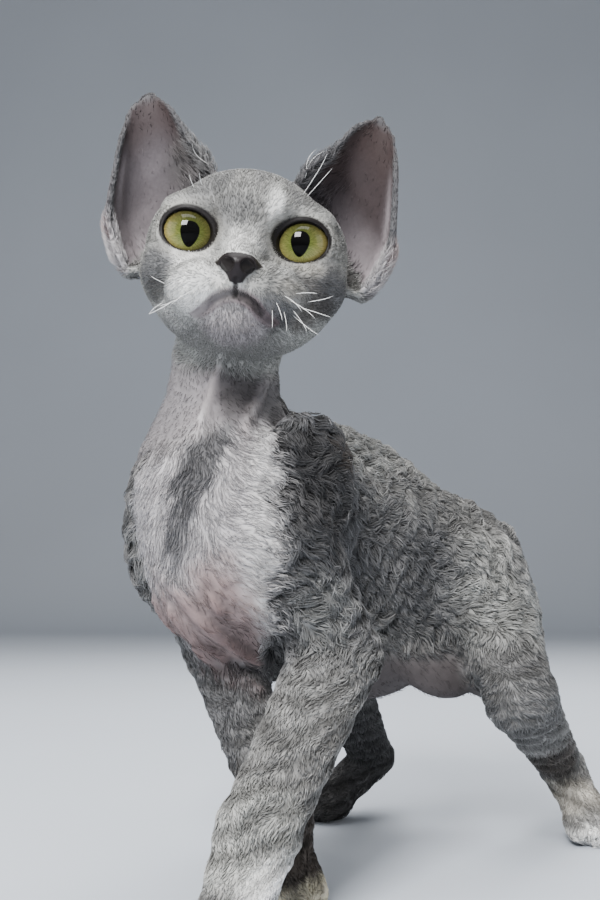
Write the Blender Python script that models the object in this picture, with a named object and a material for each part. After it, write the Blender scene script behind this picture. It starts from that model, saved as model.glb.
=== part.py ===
# A standing Devon Rex kitten at life size: head, ears, eyes, nose, neck, torso, tail and four legs.
# The flesh is one blended body, described by its masses, meshed, thinned and parted with thin cuts.
# Sizes are millimetres until the last step. X is the cat's left, -Y is its front, Z is up.
import math

import bmesh
import bpy
import numpy as np
from mathutils import Matrix, Vector

MM = 0.001

# Driving sizes
EYE_RADIUS = 9.6
SEAM = 0.3
BODY_VOXEL = 2.2
HEAD_TRIANGLES = 4100
BODY_TRIANGLES = 4100

# Joints of the skeleton, in the stance of a kitten that turns its head and forehand to its left
EYES_MIDDLE = (29.5, -79.5, 204.5)
FACE_TOWARDS = (0.750, -0.660, -0.050)
FACE_ROLL = 6.0

NECK_BASE = (-5.0, -64.0, 139.0)
NECK_TOP = (-3.5, -59.0, 182.0)

LEFT_SHOULDER = (31.0, -64.0, 108.0)
LEFT_ELBOW = (34.0, -44.5, 73.0)
LEFT_WRIST = (51.0, -91.0, 28.0)
LEFT_PALM = (60.0, -108.0, 9.0)
RIGHT_SHOULDER = (-11.0, -76.0, 108.0)
RIGHT_ELBOW = (-10.0, -57.0, 74.0)
RIGHT_WRIST = (27.0, -62.0, 25.0)
RIGHT_PALM = (30.0, -62.0, 8.6)

LEFT_HIP = (19.0, 49.0, 100.0)
LEFT_KNEE = (48.0, 33.0, 55.0)
LEFT_HOCK = (30.0, 83.0, 23.5)
LEFT_SOLE = (47.0, 74.0, 8.0)
RIGHT_HIP = (-13.0, 48.0, 100.0)
RIGHT_KNEE = (-21.0, 6.0, 61.0)
RIGHT_HOCK = (-42.0, 50.0, 23.0)
RIGHT_SOLE = (-45.0, 29.0, 8.0)

TAIL = [(5.0, 76.0, 112.0), (-3.0, 96.0, 102.0), (-20.0, 116.0, 94.0), (-44.0, 134.0, 91.0),
        (-72.0, 150.0, 94.0), (-102.0, 164.0, 102.0)]
TAIL_RADII = [10.0, 7.4, 5.9, 5.0, 4.2, 2.6]


def unit(v):
    v = np.asarray(v, float)
    return v / np.linalg.norm(v)


def tilted(pitch=0.0, yaw=0.0, roll=0.0):
    """Rows: the axes of a mass that is rolled about Y, then pitched about X, then yawed about Z, by degrees."""
    turn = Matrix.Rotation(math.radians(yaw), 3, "Z") @ Matrix.Rotation(math.radians(pitch), 3, "X")
    return np.array((turn @ Matrix.Rotation(math.radians(roll), 3, "Y")).transposed())


def face_axes():
    """Rows: the face's left, back and up directions."""
    front = unit(FACE_TOWARDS)
    left = unit(np.cross((0, 0, 1), front))
    up = np.cross(front, left)
    lean = math.radians(FACE_ROLL)
    return np.array([left * math.cos(lean) - up * math.sin(lean), -front,
                     up * math.cos(lean) + left * math.sin(lean)])


FACE = face_axes()


def from_face(p):
    """A point given in the face's own axes, in the body's."""
    return np.asarray(EYES_MIDDLE) + np.asarray(p, float) @ FACE


# A mass is a ball, which is an ellipsoid, or a rod, which is a round cone
def ball(centre, radii, axes=None):
    axes = np.eye(3) if axes is None else np.asarray(axes)
    return {"centre": np.array(centre, float), "radii": np.array(radii, float), "axes": axes}


def rod(a, b, radius_a, radius_b):
    return {"a": np.array(a, float), "b": np.array(b, float), "ra": radius_a, "rb": radius_b}


def chain(points, radii):
    return [rod(points[i], points[i + 1], radii[i], radii[i + 1]) for i in range(len(points) - 1)]


def on_face(mass):
    """The mass, given in the face's axes, in the body's."""
    if "centre" in mass:
        return ball(from_face(mass["centre"]), mass["radii"], mass["axes"] @ FACE)
    return rod(from_face(mass["a"]), from_face(mass["b"]), mass["ra"], mass["rb"])


def mirrored(mass):
    flip = np.array([-1.0, 1.0, 1.0])
    if "centre" in mass:
        return ball(mass["centre"] * flip, mass["radii"], mass["axes"] * flip * flip[:, None])
    return rod(mass["a"] * flip, mass["b"] * flip, mass["ra"], mass["rb"])


def both_sides(masses):
    return masses + [mirrored(m) for m in masses]


def distance(p, mass):
    """How far each point is outside the mass, negative inside."""
    if "centre" in mass:
        q = (p - mass["centre"]) @ mass["axes"].T
        near = np.linalg.norm(q / mass["radii"], axis=1)
        return near * (near - 1) / (np.linalg.norm(q / mass["radii"] ** 2, axis=1) + 1e-9)
    ab = mass["b"] - mass["a"]
    t = np.clip((p - mass["a"]) @ ab / (ab @ ab), 0, 1)
    return np.linalg.norm(p - (mass["a"] + t[:, None] * ab), axis=1) - (mass["ra"] + t * (mass["rb"] - mass["ra"]))


def join(f, g, blend):
    """The union of two fields, with a fillet about as wide as blend."""
    h = np.clip(0.5 + 0.5 * (g - f) / blend, 0, 1)
    return g * (1 - h) + f * h - blend * h * (1 - h)


def carve(f, g, blend):
    return -join(-f, g, blend)


def toes(palm, heading, spread, size):
    """A palm and four toes side by side in front of it, the middle two ahead."""
    palm = np.array(palm, float)
    ahead = unit((heading[0], heading[1], 0))
    side = np.array([-ahead[1], ahead[0], 0])
    made = [rod(palm, palm + ahead * 5.0 - (0, 0, 2.0), size * 1.9, size * 1.8)]
    for place, reach in ((-1.5, 8.0), (-0.5, 11.5), (0.5, 11.5), (1.5, 8.0)):
        root = palm + side * place * spread * 0.75
        tip = palm + side * place * spread + ahead * reach
        root[2], tip[2] = size + 4.0, size - 0.4
        made.append(rod(root, tip, size, size))
    return made


# Groups of masses: name, blend inside the group, blend to the body before it, masses
GROUPS = [
    ("trunk", 16.0, 1.0, [
        ball((0, -44, 108), (29, 44, 46), tilted(pitch=6, yaw=8)),
        ball((-3, 6, 98), (30, 46, 46)),
        ball((-4, -12, 127), (18, 48, 28), tilted(pitch=-9)),
        ball((2, 50, 99), (24, 33, 32), tilted(pitch=-20)),
        ball((10, -78, 110), (21, 18, 31), tilted(yaw=14)),
    ]),
    ("shoulders and thighs", 2.0, 9.0, [
        ball((27, -55, 117), (13, 25, 38), tilted(pitch=-22, yaw=8)),
        ball((-18, -66, 120), (13, 25, 36), tilted(pitch=-22, yaw=8)),
        ball((24, 43, 83), (14, 27, 34), tilted(pitch=32, yaw=-10)),
        ball((-19, 34, 88), (13, 28, 32), tilted(pitch=40, yaw=10)),
        ball((21, 22, 66), (6, 20, 13), tilted(pitch=-12, yaw=-8)),
        ball((-19, 10, 68), (6, 20, 13), tilted(pitch=-12, yaw=6)),
    ]),
    ("neck", 10.0, 13.0, [
        rod(NECK_BASE, NECK_TOP, 20.5, 18.8),
        rod((-1, -74, 125), NECK_BASE, 20.0, 19.0),
    ]),
    ("front left leg", 4.0, 6.0,
     chain([LEFT_SHOULDER, LEFT_ELBOW, LEFT_WRIST, LEFT_PALM], [17, 14.5, 11.5, 9.6])),
    ("front right leg", 4.0, 6.0,
     chain([RIGHT_SHOULDER, RIGHT_ELBOW, RIGHT_WRIST, RIGHT_PALM], [14, 12.5, 9.6, 9.0])),
    ("hind left leg", 4.0, 6.0,
     chain([LEFT_HIP, LEFT_KNEE, LEFT_HOCK, LEFT_SOLE], [17, 12.8, 8.4, 8.0])),
    ("hind right leg", 4.0, 6.0,
     chain([RIGHT_HIP, RIGHT_KNEE, RIGHT_HOCK, RIGHT_SOLE], [17, 14.0, 8.4, 8.0])),
    ("tail", 3.0, 8.0, chain(TAIL, TAIL_RADII)),
    ("front left paw", 1.6, 3.0, toes(LEFT_PALM, (0.45, -0.9), 5.8, 4.6)),
    ("front right paw", 1.6, 3.0, toes(RIGHT_PALM, (0.8, -0.6), 5.6, 4.4)),
    ("hind left paw", 1.6, 3.0, toes(LEFT_SOLE, (0.88, -0.48), 5.6, 4.4)),
    ("hind right paw", 1.6, 3.0, toes(RIGHT_SOLE, (-0.2, -0.98), 5.6, 4.4)),
]

# Masses of the head in the face's axes: X left, Y back, Z up from the middle of the eyes
EYE_CENTRE = (18.3, 6.4, 0.0)
EYE_OPENING = (8.3, 6.9)
EYE_TILT = 10.0


def lid_rim():
    """The rolled edge of the left eye's lids, as short rods around the opening."""
    lean = math.radians(EYE_TILT)
    reach = EYE_RADIUS + 1.0
    points = []
    for i in range(25):
        turn = math.tau * i / 24
        x, z = (EYE_OPENING[0] + 0.8) * math.cos(turn), (EYE_OPENING[1] + 0.8) * math.sin(turn)
        x, z = x * math.cos(lean) - z * math.sin(lean), x * math.sin(lean) + z * math.cos(lean)
        y = -math.sqrt(reach ** 2 - x ** 2 - z ** 2)
        points.append((EYE_CENTRE[0] + x, EYE_CENTRE[1] + y, EYE_CENTRE[2] + z))
    return chain(points, [1.1] * len(points))


# Skull, forehead, cheeks, temples, jaw, bridge, whisker pads, chin, brows, nose, then the basin that
# the eyes lie in, the lids over the eyeballs and their rims
HEAD = [
    (join, 1.0, [ball((0, 24, 2), (29.5, 32, 23))]),
    (join, 8.0, [ball((0, 8, 8.5), (20, 15, 14))]),
    (join, 7.0, both_sides([ball((19, 13, -11.5), (15, 17, 13))])),
    (join, 7.0, both_sides([ball((22.5, 18, 1), (10.5, 14, 13))])),
    (join, 8.0, [ball((0, 14, -22), (26, 24, 15))]),
    (join, 5.0, [rod((0, 3.5, -0.5), (0, -13.0, -10.3), 8.0, 5.5)]),
    (join, 4.5, both_sides([ball((9.8, -6.5, -20.0), (13, 12.4, 9.9), tilted(yaw=18))])),
    (join, 5.5, [ball((0, -4.0, -29.5), (10.5, 10.0, 7.5))]),
    (join, 4.0, both_sides([ball((17.5, 6.5, 9.0), (10.5, 8.0, 5.0))])),
    (join, 2.0, [ball((0, -16.0, -13.5), (6.6, 5.2, 4.4)), ball((0, -16.0, -17.0), (3.2, 4.0, 3.6))]),
    (carve, 3.0, both_sides([ball((17.3, -7.0, 0.0), (9.5, 8.0, 8.6))])),
    (join, 2.5, both_sides([ball(EYE_CENTRE, (EYE_RADIUS + 1.4,) * 3)])),
    (join, 1.6, both_sides(lid_rim())),
]
HEAD_BLEND = 7.0

# Grooves in the head, seen from the front: softness, width, path of X and Z from the nose outwards
GROOVES = [
    (0.4, 0.7, [(0.0, -19.0), (0.0, -21.5), (0.0, -24.2)]),
    (0.6, 1.1, [(0.0, -24.0), (3.2, -25.0), (6.5, -26.6), (9.5, -28.4), (12.0, -30.2), (14.5, -31.6)]),
]
NOSTRILS = both_sides([rod((3.2, -26.0, -14.6), (2.8, -17.0, -13.6), 1.35, 1.2),
                       rod((3.4, -24.0, -14.6), (7.6, -17.0, -13.0), 0.75, 0.6)])
EAR_BOWLS = both_sides([ball((31.5, 29.0, 7.0), (8.0, 9.5, 12.0), tilted(roll=12))])

# The ear's two edges from base to tip in the face's axes, and how deep the cup is behind them
EAR_INNER = [(13.0, 17.0, 23.0), (17.3, 17.0, 30.8), (22.8, 17.5, 35.5), (28.3, 19.0, 43.0),
             (32.1, 21.0, 48.0), (36.2, 23.5, 51.5), (39.3, 25.0, 53.0)]
EAR_OUTER = [(38.0, 15.0, -11.5), (43.0, 17.0, -5.0), (47.2, 18.0, 5.0), (47.4, 18.0, 14.0),
             (47.2, 18.5, 22.0), (46.9, 19.0, 29.5), (46.2, 20.5, 38.0), (44.9, 22.5, 45.8),
             (42.2, 24.5, 51.4), (39.3, 25.0, 53.0)]
EAR_DEPTH = [24.0, 22.5, 20.0, 17.0, 13.5, 10.0, 7.0, 4.5, 2.5, 0.8]
EAR_THICK = 2.2

# The nose leather seen from the front: right half of its outline, X and Z
NOSE_OUTLINE = [(0.0, -10.4), (3.2, -10.5), (5.6, -11.5), (6.4, -13.0), (5.4, -14.8), (3.6, -16.4),
                (1.9, -18.4), (0.0, -19.2)]
NOSE_BACK = -13.0
NOSE_RAISE = 0.35

# Where the head leaves the neck, in the face's axes, and the other thin cuts in the body's
HEAD_CUT = ((0.0, 33.0, -24.0), (0.0, -0.57, 0.82))
NECK_CUT = ((-3.0, -64.0, 152.0), (0.0, -0.34, 0.94), 36.0)

# Each limb is what lies inside these round-ended rods: start, end, radius
LIMB_REGIONS = {
    "front_left": [((34, -66, 104), LEFT_ELBOW, 22.0), (LEFT_ELBOW, LEFT_WRIST, 20.0), (LEFT_WRIST, LEFT_PALM, 24.0)],
    "front_right": [((-16, -74, 104), RIGHT_ELBOW, 19.0), (RIGHT_ELBOW, RIGHT_WRIST, 17.0),
                    (RIGHT_WRIST, (38, -68, 6), 20.0)],
    "hind_left": [((27, 44, 92), LEFT_KNEE, 26.0), (LEFT_KNEE, LEFT_HOCK, 20.0), (LEFT_HOCK, LEFT_SOLE, 26.0)],
    "hind_right": [((-22, 38, 92), RIGHT_KNEE, 24.0), (RIGHT_KNEE, RIGHT_HOCK, 20.0), (RIGHT_HOCK, RIGHT_SOLE, 26.0)],
    "tail": [((-1.5, 92.0, 104.0), TAIL[2], 12.0), (TAIL[2], TAIL[3], 12.0), (TAIL[3], TAIL[4], 12.0),
             (TAIL[4], TAIL[5], 12.0)],
}
# Each limb's parts from the top down, and the discs that part them: centre, axis, radius
LIMB_CUTS = {
    "front_left": (["front_left_upper_leg", "front_left_lower_leg", "front_left_paw"],
                   [((35, -48, 69), (0.2, -0.55, -0.8), 60), (LEFT_WRIST, (0.25, -0.75, -0.62), 19)]),
    "front_right": (["front_right_upper_leg", "front_right_lower_leg", "front_right_paw"],
                    [((-6, -58, 68), (0.45, 0.0, -0.89), 36), (RIGHT_WRIST, (0.3, 0.0, -0.95), 15)]),
    "hind_left": (["hind_left_upper_leg", "hind_left_lower_leg", "hind_left_paw"],
                  [((45, 38, 52), (0.0, 0.38, -0.93), 36), ((32, 82, 21.5), (0.31, 0.34, -0.89), 14)]),
    "hind_right": (["hind_right_upper_leg", "hind_right_lower_leg", "hind_right_paw"],
                   [((-24, 16, 56), (-0.1, 0.28, -0.95), 36), ((-42.3, 48, 21.5), (-0.36, -0.08, -0.93), 14)]),
    "tail": (["tail_base", "tail_middle", "tail_tip"],
             [(TAIL[3], (-0.85, 0.5, 0.0), 9), (TAIL[4], (-0.87, 0.45, 0.2), 8)]),
}


def body_field(p):
    body = None
    for _, inner, outer, masses in GROUPS:
        group = None
        for mass in masses:
            d = distance(p, mass)
            group = d if group is None else join(group, d, inner)
        body = group if body is None else join(body, group, outer)
    return body


def plain_head_field(p):
    head = None
    for blend_with, blend, masses in HEAD:
        for mass in masses:
            d = distance(p, on_face(mass))
            head = d if head is None else blend_with(head, d, blend)
    return head


def pressed(path, start=-40.0):
    """Points of a front-view path, each brought straight back onto the plain head."""
    path = np.array(path, float)
    p = np.stack([path[:, 0], np.full(len(path), start), path[:, 1]], axis=1)
    for _ in range(60):
        p[:, 1] += np.clip(plain_head_field(from_face(p)), -0.5, 3.0) * 0.8
    return p


def groove_masses():
    made = []
    for softness, width, path in GROOVES:
        line = [tuple(p) for p in pressed(path)]
        made.append((softness, both_sides(chain(line, [width] * (len(line) - 1) + [width * 0.5]))))
    return made


HOLLOWS = groove_masses() + [(0.5, NOSTRILS), (2.5, EAR_BOWLS)]


def head_field(p):
    head = plain_head_field(p)
    for blend, masses in HOLLOWS:
        for mass in masses:
            head = carve(head, distance(p, on_face(mass)), blend)
    return head


def flesh_field(p):
    return join(body_field(p), head_field(p), HEAD_BLEND)


def add_mass(bm, mass):
    """The mass as a plain closed mesh: a stretched ball, or a ball drawn out between two ends."""
    made = bmesh.ops.create_icosphere(bm, subdivisions=3, radius=1.0)["verts"]
    if "centre" in mass:
        for v in made:
            v.co = Vector(mass["centre"] + (np.array(v.co) * mass["radii"]) @ mass["axes"])
        return
    along = unit(mass["b"] - mass["a"])
    for v in made:
        out = np.array(v.co)
        at_b = out @ along > 0
        v.co = Vector(mass["b"] + out * mass["rb"] if at_b else mass["a"] + out * mass["ra"])


def new_object(name, bm):
    mesh = bpy.data.meshes.new(name)
    bm.to_mesh(mesh)
    bm.free()
    made = bpy.data.objects.new(name, mesh)
    bpy.context.scene.collection.objects.link(made)
    return made


def bake(obj):
    """Applies an object's modifiers."""
    bpy.context.view_layer.update()
    graph = bpy.context.evaluated_depsgraph_get()
    mesh = bpy.data.meshes.new_from_object(obj.evaluated_get(graph))
    obj.modifiers.clear()
    obj.data = mesh
    return obj


def points_of(obj):
    p = np.empty(len(obj.data.vertices) * 3)
    obj.data.vertices.foreach_get("co", p)
    return p.reshape(-1, 3)


def set_points(obj, p):
    obj.data.vertices.foreach_set("co", p.ravel())
    obj.data.update()


def settle(obj, field, rounds, relax=0.0):
    """Moves each vertex onto the field's surface, with some evening out between the rounds."""
    edges = np.empty(len(obj.data.edges) * 2, int)
    obj.data.edges.foreach_get("vertices", edges)
    a, b = edges.reshape(-1, 2).T
    p = points_of(obj)
    count = np.bincount(np.concatenate([a, b]), minlength=len(p))[:, None]
    step = 0.05
    for _ in range(rounds):
        if relax:
            total = np.stack([np.bincount(a, p[b, i], len(p)) + np.bincount(b, p[a, i], len(p))
                              for i in range(3)], axis=1)
            p = p + relax * (total / count - p)
        f = field(p)
        slope = np.stack([(field(p + step * axis) - f) / step for axis in np.eye(3)], axis=1)
        move = (f / ((slope ** 2).sum(axis=1) + 1e-6))[:, None] * slope
        length = np.linalg.norm(move, axis=1)[:, None]
        p = p - move * np.minimum(1.0, 2.0 / (length + 1e-9))
    set_points(obj, p)


def refine(obj, chosen):
    """Splits the faces whose centre is chosen once."""
    bm = bmesh.new()
    bm.from_mesh(obj.data)
    centres = np.array([f.calc_center_median() for f in bm.faces])
    picked = chosen(centres)
    faces = [f for f, yes in zip(bm.faces, picked) if yes]
    edges = {e for f in faces for e in f.edges}
    bmesh.ops.subdivide_edges(bm, edges=list(edges), cuts=1, use_grid_fill=True)
    bmesh.ops.triangulate(bm, faces=[f for f in bm.faces if len(f.verts) > 4])
    bm.to_mesh(obj.data)
    bm.free()


def clear_scene():
    for obj in list(bpy.data.objects):
        bpy.data.objects.remove(obj)


def make_flesh():
    bm = bmesh.new()
    for _, _, _, masses in GROUPS:
        for mass in masses:
            add_mass(bm, mass)
    for blend_with, _, masses in HEAD:
        for mass in masses:
            if blend_with is join:
                add_mass(bm, on_face(mass))
    flesh = new_object("flesh", bm)
    remesh = flesh.modifiers.new("Voxels", "REMESH")
    remesh.mode = "VOXEL"
    remesh.voxel_size = BODY_VOXEL
    bake(flesh)
    settle(flesh, flesh_field, 4, relax=0.4)
    return flesh


def copy_of(obj, name):
    made = bpy.data.objects.new(name, obj.data.copy())
    bpy.context.scene.collection.objects.link(made)
    return made


def cut_plane(obj, point, normal):
    """Keeps the side the normal points to, and closes the cut."""
    bm = bmesh.new()
    bm.from_mesh(obj.data)
    geom = list(bm.verts) + list(bm.edges) + list(bm.faces)
    cut = bmesh.ops.bisect_plane(bm, geom=geom, dist=1e-5, plane_co=Vector(point), plane_no=Vector(normal),
                                 clear_inner=True)
    rim = [e for e in cut["geom_cut"] if isinstance(e, bmesh.types.BMEdge)]
    filled = bmesh.ops.triangle_fill(bm, edges=rim, use_beauty=True, use_dissolve=False,
                                     normal=-Vector(normal))
    bmesh.ops.recalc_face_normals(bm, faces=bm.faces)
    bm.to_mesh(obj.data)
    bm.free()
    return filled


def thin(obj, triangles):
    """Collapses the mesh to about this many triangles."""
    bm = bmesh.new()
    bm.from_mesh(obj.data)
    bmesh.ops.triangulate(bm, faces=bm.faces)
    count = len(bm.faces)
    bm.to_mesh(obj.data)
    bm.free()
    made = obj.modifiers.new("Thin", "DECIMATE")
    made.ratio = min(1.0, triangles / count)
    bake(obj)


def boolean(obj, cutter, operation):
    """Cuts with, or keeps what is in, the cutter, and removes the cutter."""
    made = obj.modifiers.new("Cut", "BOOLEAN")
    made.operation = operation
    made.solver = "EXACT"
    made.object = cutter
    bake(obj)
    bpy.data.objects.remove(cutter)


def loose_parts(obj):
    """The separate closed bodies of a mesh, largest first."""
    bm = bmesh.new()
    bm.from_mesh(obj.data)
    bm.verts.ensure_lookup_table()
    label = [-1] * len(bm.verts)
    groups = []
    for start in bm.verts:
        if label[start.index] >= 0:
            continue
        stack, found = [start], []
        label[start.index] = len(groups)
        while stack:
            v = stack.pop()
            found.append(v.index)
            for e in v.link_edges:
                other = e.other_vert(v)
                if label[other.index] < 0:
                    label[other.index] = len(groups)
                    stack.append(other)
        groups.append(found)
    parts = []
    for group in sorted(groups, key=len, reverse=True):
        if len(group) < 12:
            continue
        keep = set(group)
        piece = bm.copy()
        piece.verts.ensure_lookup_table()
        bmesh.ops.delete(piece, geom=[v for v in piece.verts if v.index not in keep], context="VERTS")
        parts.append(new_object(obj.name + "_part", piece))
    bm.free()
    return parts


def keep_largest(obj):
    parts = loose_parts(obj)
    obj.data = parts[0].data
    for part in parts:
        bpy.data.objects.remove(part)


def lathe(name, profile, centre, axis, steps=32):
    """A closed solid of revolution: profile points are (along the axis, radius)."""
    bm = bmesh.new()
    turn = Vector((0, 0, 1)).rotation_difference(Vector(axis).normalized()).to_matrix()
    rings = []
    for along, radius in profile:
        if radius < 1e-6:
            rings.append([bm.verts.new(Vector(centre) + turn @ Vector((0, 0, along)))])
            continue
        angles = [math.tau * i / steps for i in range(steps)]
        rings.append([bm.verts.new(Vector(centre) + turn @ Vector((radius * math.cos(a), radius * math.sin(a),
                                                                   along))) for a in angles])
    for low, high in zip(rings, rings[1:]):
        for i in range(steps):
            j = (i + 1) % steps
            a, b = low[i % len(low)], low[j % len(low)]
            c, d = high[j % len(high)], high[i % len(high)]
            corners = [v for n, v in enumerate((a, b, c, d)) if v not in (a, b, c, d)[:n]]
            if len(corners) > 2:
                bm.faces.new(corners)
    bmesh.ops.recalc_face_normals(bm, faces=bm.faces)
    return new_object(name, bm)


def disc(centre, axis, radius, thick=SEAM):
    return lathe("disc", [(-thick / 2, 0), (-thick / 2, radius), (thick / 2, radius), (thick / 2, 0)],
                 centre, axis)


def capsule(a, b, radius):
    """A round-ended rod, for the region of a limb."""
    a, b = np.array(a, float), np.array(b, float)
    length = np.linalg.norm(b - a)
    profile = []
    for i in range(5):
        turn = math.pi / 2 * i / 4
        profile.append((-radius * math.cos(turn), radius * math.sin(turn)))
    for i in range(5):
        turn = math.pi / 2 * i / 4
        profile.append((length + radius * math.sin(turn), radius * math.cos(turn)))
    return lathe("capsule", profile, a, b - a, steps=14)


def region(rods, grow):
    """The union of several round-ended rods, each (start, end, radius), grown by a margin."""
    made = None
    for a, b, radius in rods:
        piece = capsule(a, b, radius + grow)
        if made is None:
            made = piece
        else:
            boolean(made, piece, "UNION")
    return made


def take_limb(body, name, rods):
    """Parts what lies inside the rods from the body, with a seam between."""
    limb = copy_of(body, name)
    boolean(limb, region(rods, 0.0), "INTERSECT")
    keep_largest(limb)
    boolean(body, region(rods, SEAM), "DIFFERENCE")
    keep_largest(body)
    return limb


def part_by(obj, names, cuts):
    """Cuts a piece with thin discs, each (centre, axis, radius), and names the parts along the list."""
    for centre, axis, radius in cuts:
        boolean(obj, disc(centre, axis, radius), "DIFFERENCE")
    parts = loose_parts(obj)[:len(names)]
    bpy.data.objects.remove(obj)
    stations = [np.array(cut[0], float) for cut in cuts]

    def place(part):
        middle = points_of(part).mean(axis=0)
        return sum((middle - s) @ unit(cut[1]) > 0 for s, cut in zip(stations, cuts))

    parts.sort(key=place)
    for part, name in zip(parts, names):
        part.name = name
    return parts


def make_ear(side):
    """A cup between two edges, open in front, thinner at its rim."""
    levels, around = 13, 12

    def along(points, t):
        p = np.array(points)
        length = np.concatenate([[0], np.cumsum(np.linalg.norm(np.diff(p, axis=0), axis=1))])
        return np.array([np.interp(t * length[-1], length, p[:, i]) for i in range(3)])

    middle = np.empty((levels, around, 3))
    thick = np.empty((levels, around, 1))
    for i in range(levels):
        t = (i / (levels - 1)) ** 0.85
        inner, outer = along(EAR_INNER, t), along(EAR_OUTER, t)
        depth = np.interp(t, np.linspace(0, 1, len(EAR_DEPTH)), EAR_DEPTH)
        centre, half = (inner + outer) / 2, (inner - outer) / 2
        back = unit((0.12 + 0.2 * (1 - t), 1.0, 0.0))
        for j in range(around):
            turn = math.pi * j / (around - 1)
            middle[i, j] = centre + half * math.cos(turn) + back * depth * math.sin(turn) ** 0.9
            rim = min(j, around - 1 - j) / (around // 2)
            thick[i, j] = EAR_THICK * (0.72 + 0.28 * min(1.0, rim * 2)) * (1.0 if t < 0.8 else 1.15 - 0.35 * (t - 0.2))
    root = middle[0] + (np.array((12.0, 25.0, -4.0)) - middle[0]) * 0.45
    middle = np.concatenate([root[None], middle])
    thick = np.concatenate([thick[:1], thick])
    levels += 1
    up = np.gradient(middle, axis=0)
    across = np.gradient(middle, axis=1)
    out = np.cross(across, up)
    out /= np.linalg.norm(out, axis=2)[:, :, None] + 1e-9
    out[-1] = out[-2]
    if (out[levels // 2, around // 2] @ np.array((0, 1, 0))) < 0:
        out = -out
    bm = bmesh.new()
    sheets = []
    for sign in (1, -1):
        p = middle + sign * out * thick / 2
        p[:, :, 0] *= side
        world = from_face(p.reshape(-1, 3))
        sheets.append([[bm.verts.new(Vector(world[i * around + j])) for j in range(around)] for i in range(levels)])
    back, front = sheets
    for i in range(levels - 1):
        for j in range(around - 1):
            bm.faces.new((back[i][j], back[i][j + 1], back[i + 1][j + 1], back[i + 1][j]))
            bm.faces.new((front[i][j], front[i + 1][j], front[i + 1][j + 1], front[i][j + 1]))
        bm.faces.new((back[i][0], back[i + 1][0], front[i + 1][0], front[i][0]))
        bm.faces.new((back[i][-1], front[i][-1], front[i + 1][-1], back[i + 1][-1]))
    for j in range(around - 1):
        bm.faces.new((back[0][j], front[0][j], front[0][j + 1], back[0][j + 1]))
        bm.faces.new((back[-1][j], back[-1][j + 1], front[-1][j + 1], front[-1][j]))
    bmesh.ops.triangulate(bm, faces=bm.faces)
    bmesh.ops.recalc_face_normals(bm, faces=bm.faces)
    return new_object("ear_left" if side > 0 else "ear_right", bm)


def outline_ring(grow):
    """The nose leather's outline all round, offset outwards."""
    right = NOSE_OUTLINE + [(-x, z) for x, z in NOSE_OUTLINE[-2:0:-1]]
    dense = []
    for (xa, za), (xb, zb) in zip(right, right[1:] + right[:1]):
        for k in range(2):
            dense.append((xa + (xb - xa) * k / 2, za + (zb - za) * k / 2))
    p = np.array(dense)
    ahead, behind = np.roll(p, -1, axis=0), np.roll(p, 1, axis=0)
    along = ahead - behind
    normal = np.stack([-along[:, 1], along[:, 0]], axis=1)
    normal /= np.linalg.norm(normal, axis=1)[:, None]
    if ((p - (0, -14)) * normal).sum() < 0:
        normal = -normal
    return p + normal * grow


def plug(name, ring, front, back):
    """A straight plug through a front-view ring, from one depth to another."""
    bm = bmesh.new()
    near = [bm.verts.new(Vector(from_face((x, front, z)))) for x, z in ring]
    far = [bm.verts.new(Vector(from_face((x, back, z)))) for x, z in ring]
    bm.faces.new(near)
    bm.faces.new(far)
    for i in range(len(ring)):
        j = (i + 1) % len(ring)
        bm.faces.new((near[i], near[j], far[j], far[i]))
    bmesh.ops.triangulate(bm, faces=bm.faces)
    bmesh.ops.recalc_face_normals(bm, faces=bm.faces)
    return new_object(name, bm)


def make_nose():
    """The nose leather: a disc of rings pressed onto the muzzle from the front, with a flat back."""
    ring = outline_ring(0.0)
    centre = np.array((0.0, -14.0))
    shares = np.linspace(0, 1, 7)[1:]
    points = [centre] + [centre + (p - centre) * s for s in shares for p in ring]
    points = np.array(points)
    depth = np.full(len(points), -34.0)
    for _ in range(40):
        face = np.stack([points[:, 0], depth, points[:, 1]], axis=1)
        gap = head_field(from_face(face)) - NOSE_RAISE
        depth = depth + np.clip(gap, -0.5, 3.0) * 0.8
    count = len(ring)
    bm = bmesh.new()
    front = [bm.verts.new(Vector(from_face((x, d, z)))) for (x, z), d in zip(points, depth)]
    back = [bm.verts.new(Vector(from_face((x, NOSE_BACK, z)))) for x, z in ring]
    for i in range(count):
        j = (i + 1) % count
        bm.faces.new((front[0], front[1 + i], front[1 + j]))
        for k in range(len(shares) - 1):
            a, b = 1 + k * count, 1 + (k + 1) * count
            bm.faces.new((front[a + i], front[b + i], front[b + j], front[a + j]))
        last = 1 + (len(shares) - 1) * count
        bm.faces.new((front[last + i], back[i], back[j], front[last + j]))
    bm.faces.new(back)
    bmesh.ops.triangulate(bm, faces=bm.faces)
    bmesh.ops.recalc_face_normals(bm, faces=bm.faces)
    return new_object("nose", bm)


def ball_object(name, centre, radii, axes, subdivisions=3):
    bm = bmesh.new()
    made = bmesh.ops.create_icosphere(bm, subdivisions=subdivisions, radius=1.0)["verts"]
    for v in made:
        v.co = Vector(np.array(centre) + (np.array(v.co) * np.array(radii)) @ np.array(axes))
    return new_object(name, bm)


def eye_centre(side):
    return from_face((EYE_CENTRE[0] * side, EYE_CENTRE[1], EYE_CENTRE[2]))


def eye_opening(side):
    """The almond between the lids, as a solid in front of the eye."""
    axes = tilted(roll=-EYE_TILT * side) @ FACE
    centre = from_face((EYE_CENTRE[0] * side * 1.02, EYE_CENTRE[1] - 10.5, EYE_CENTRE[2]))
    return ball_object("opening", centre, (EYE_OPENING[0], 8.5, EYE_OPENING[1]), axes)


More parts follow.
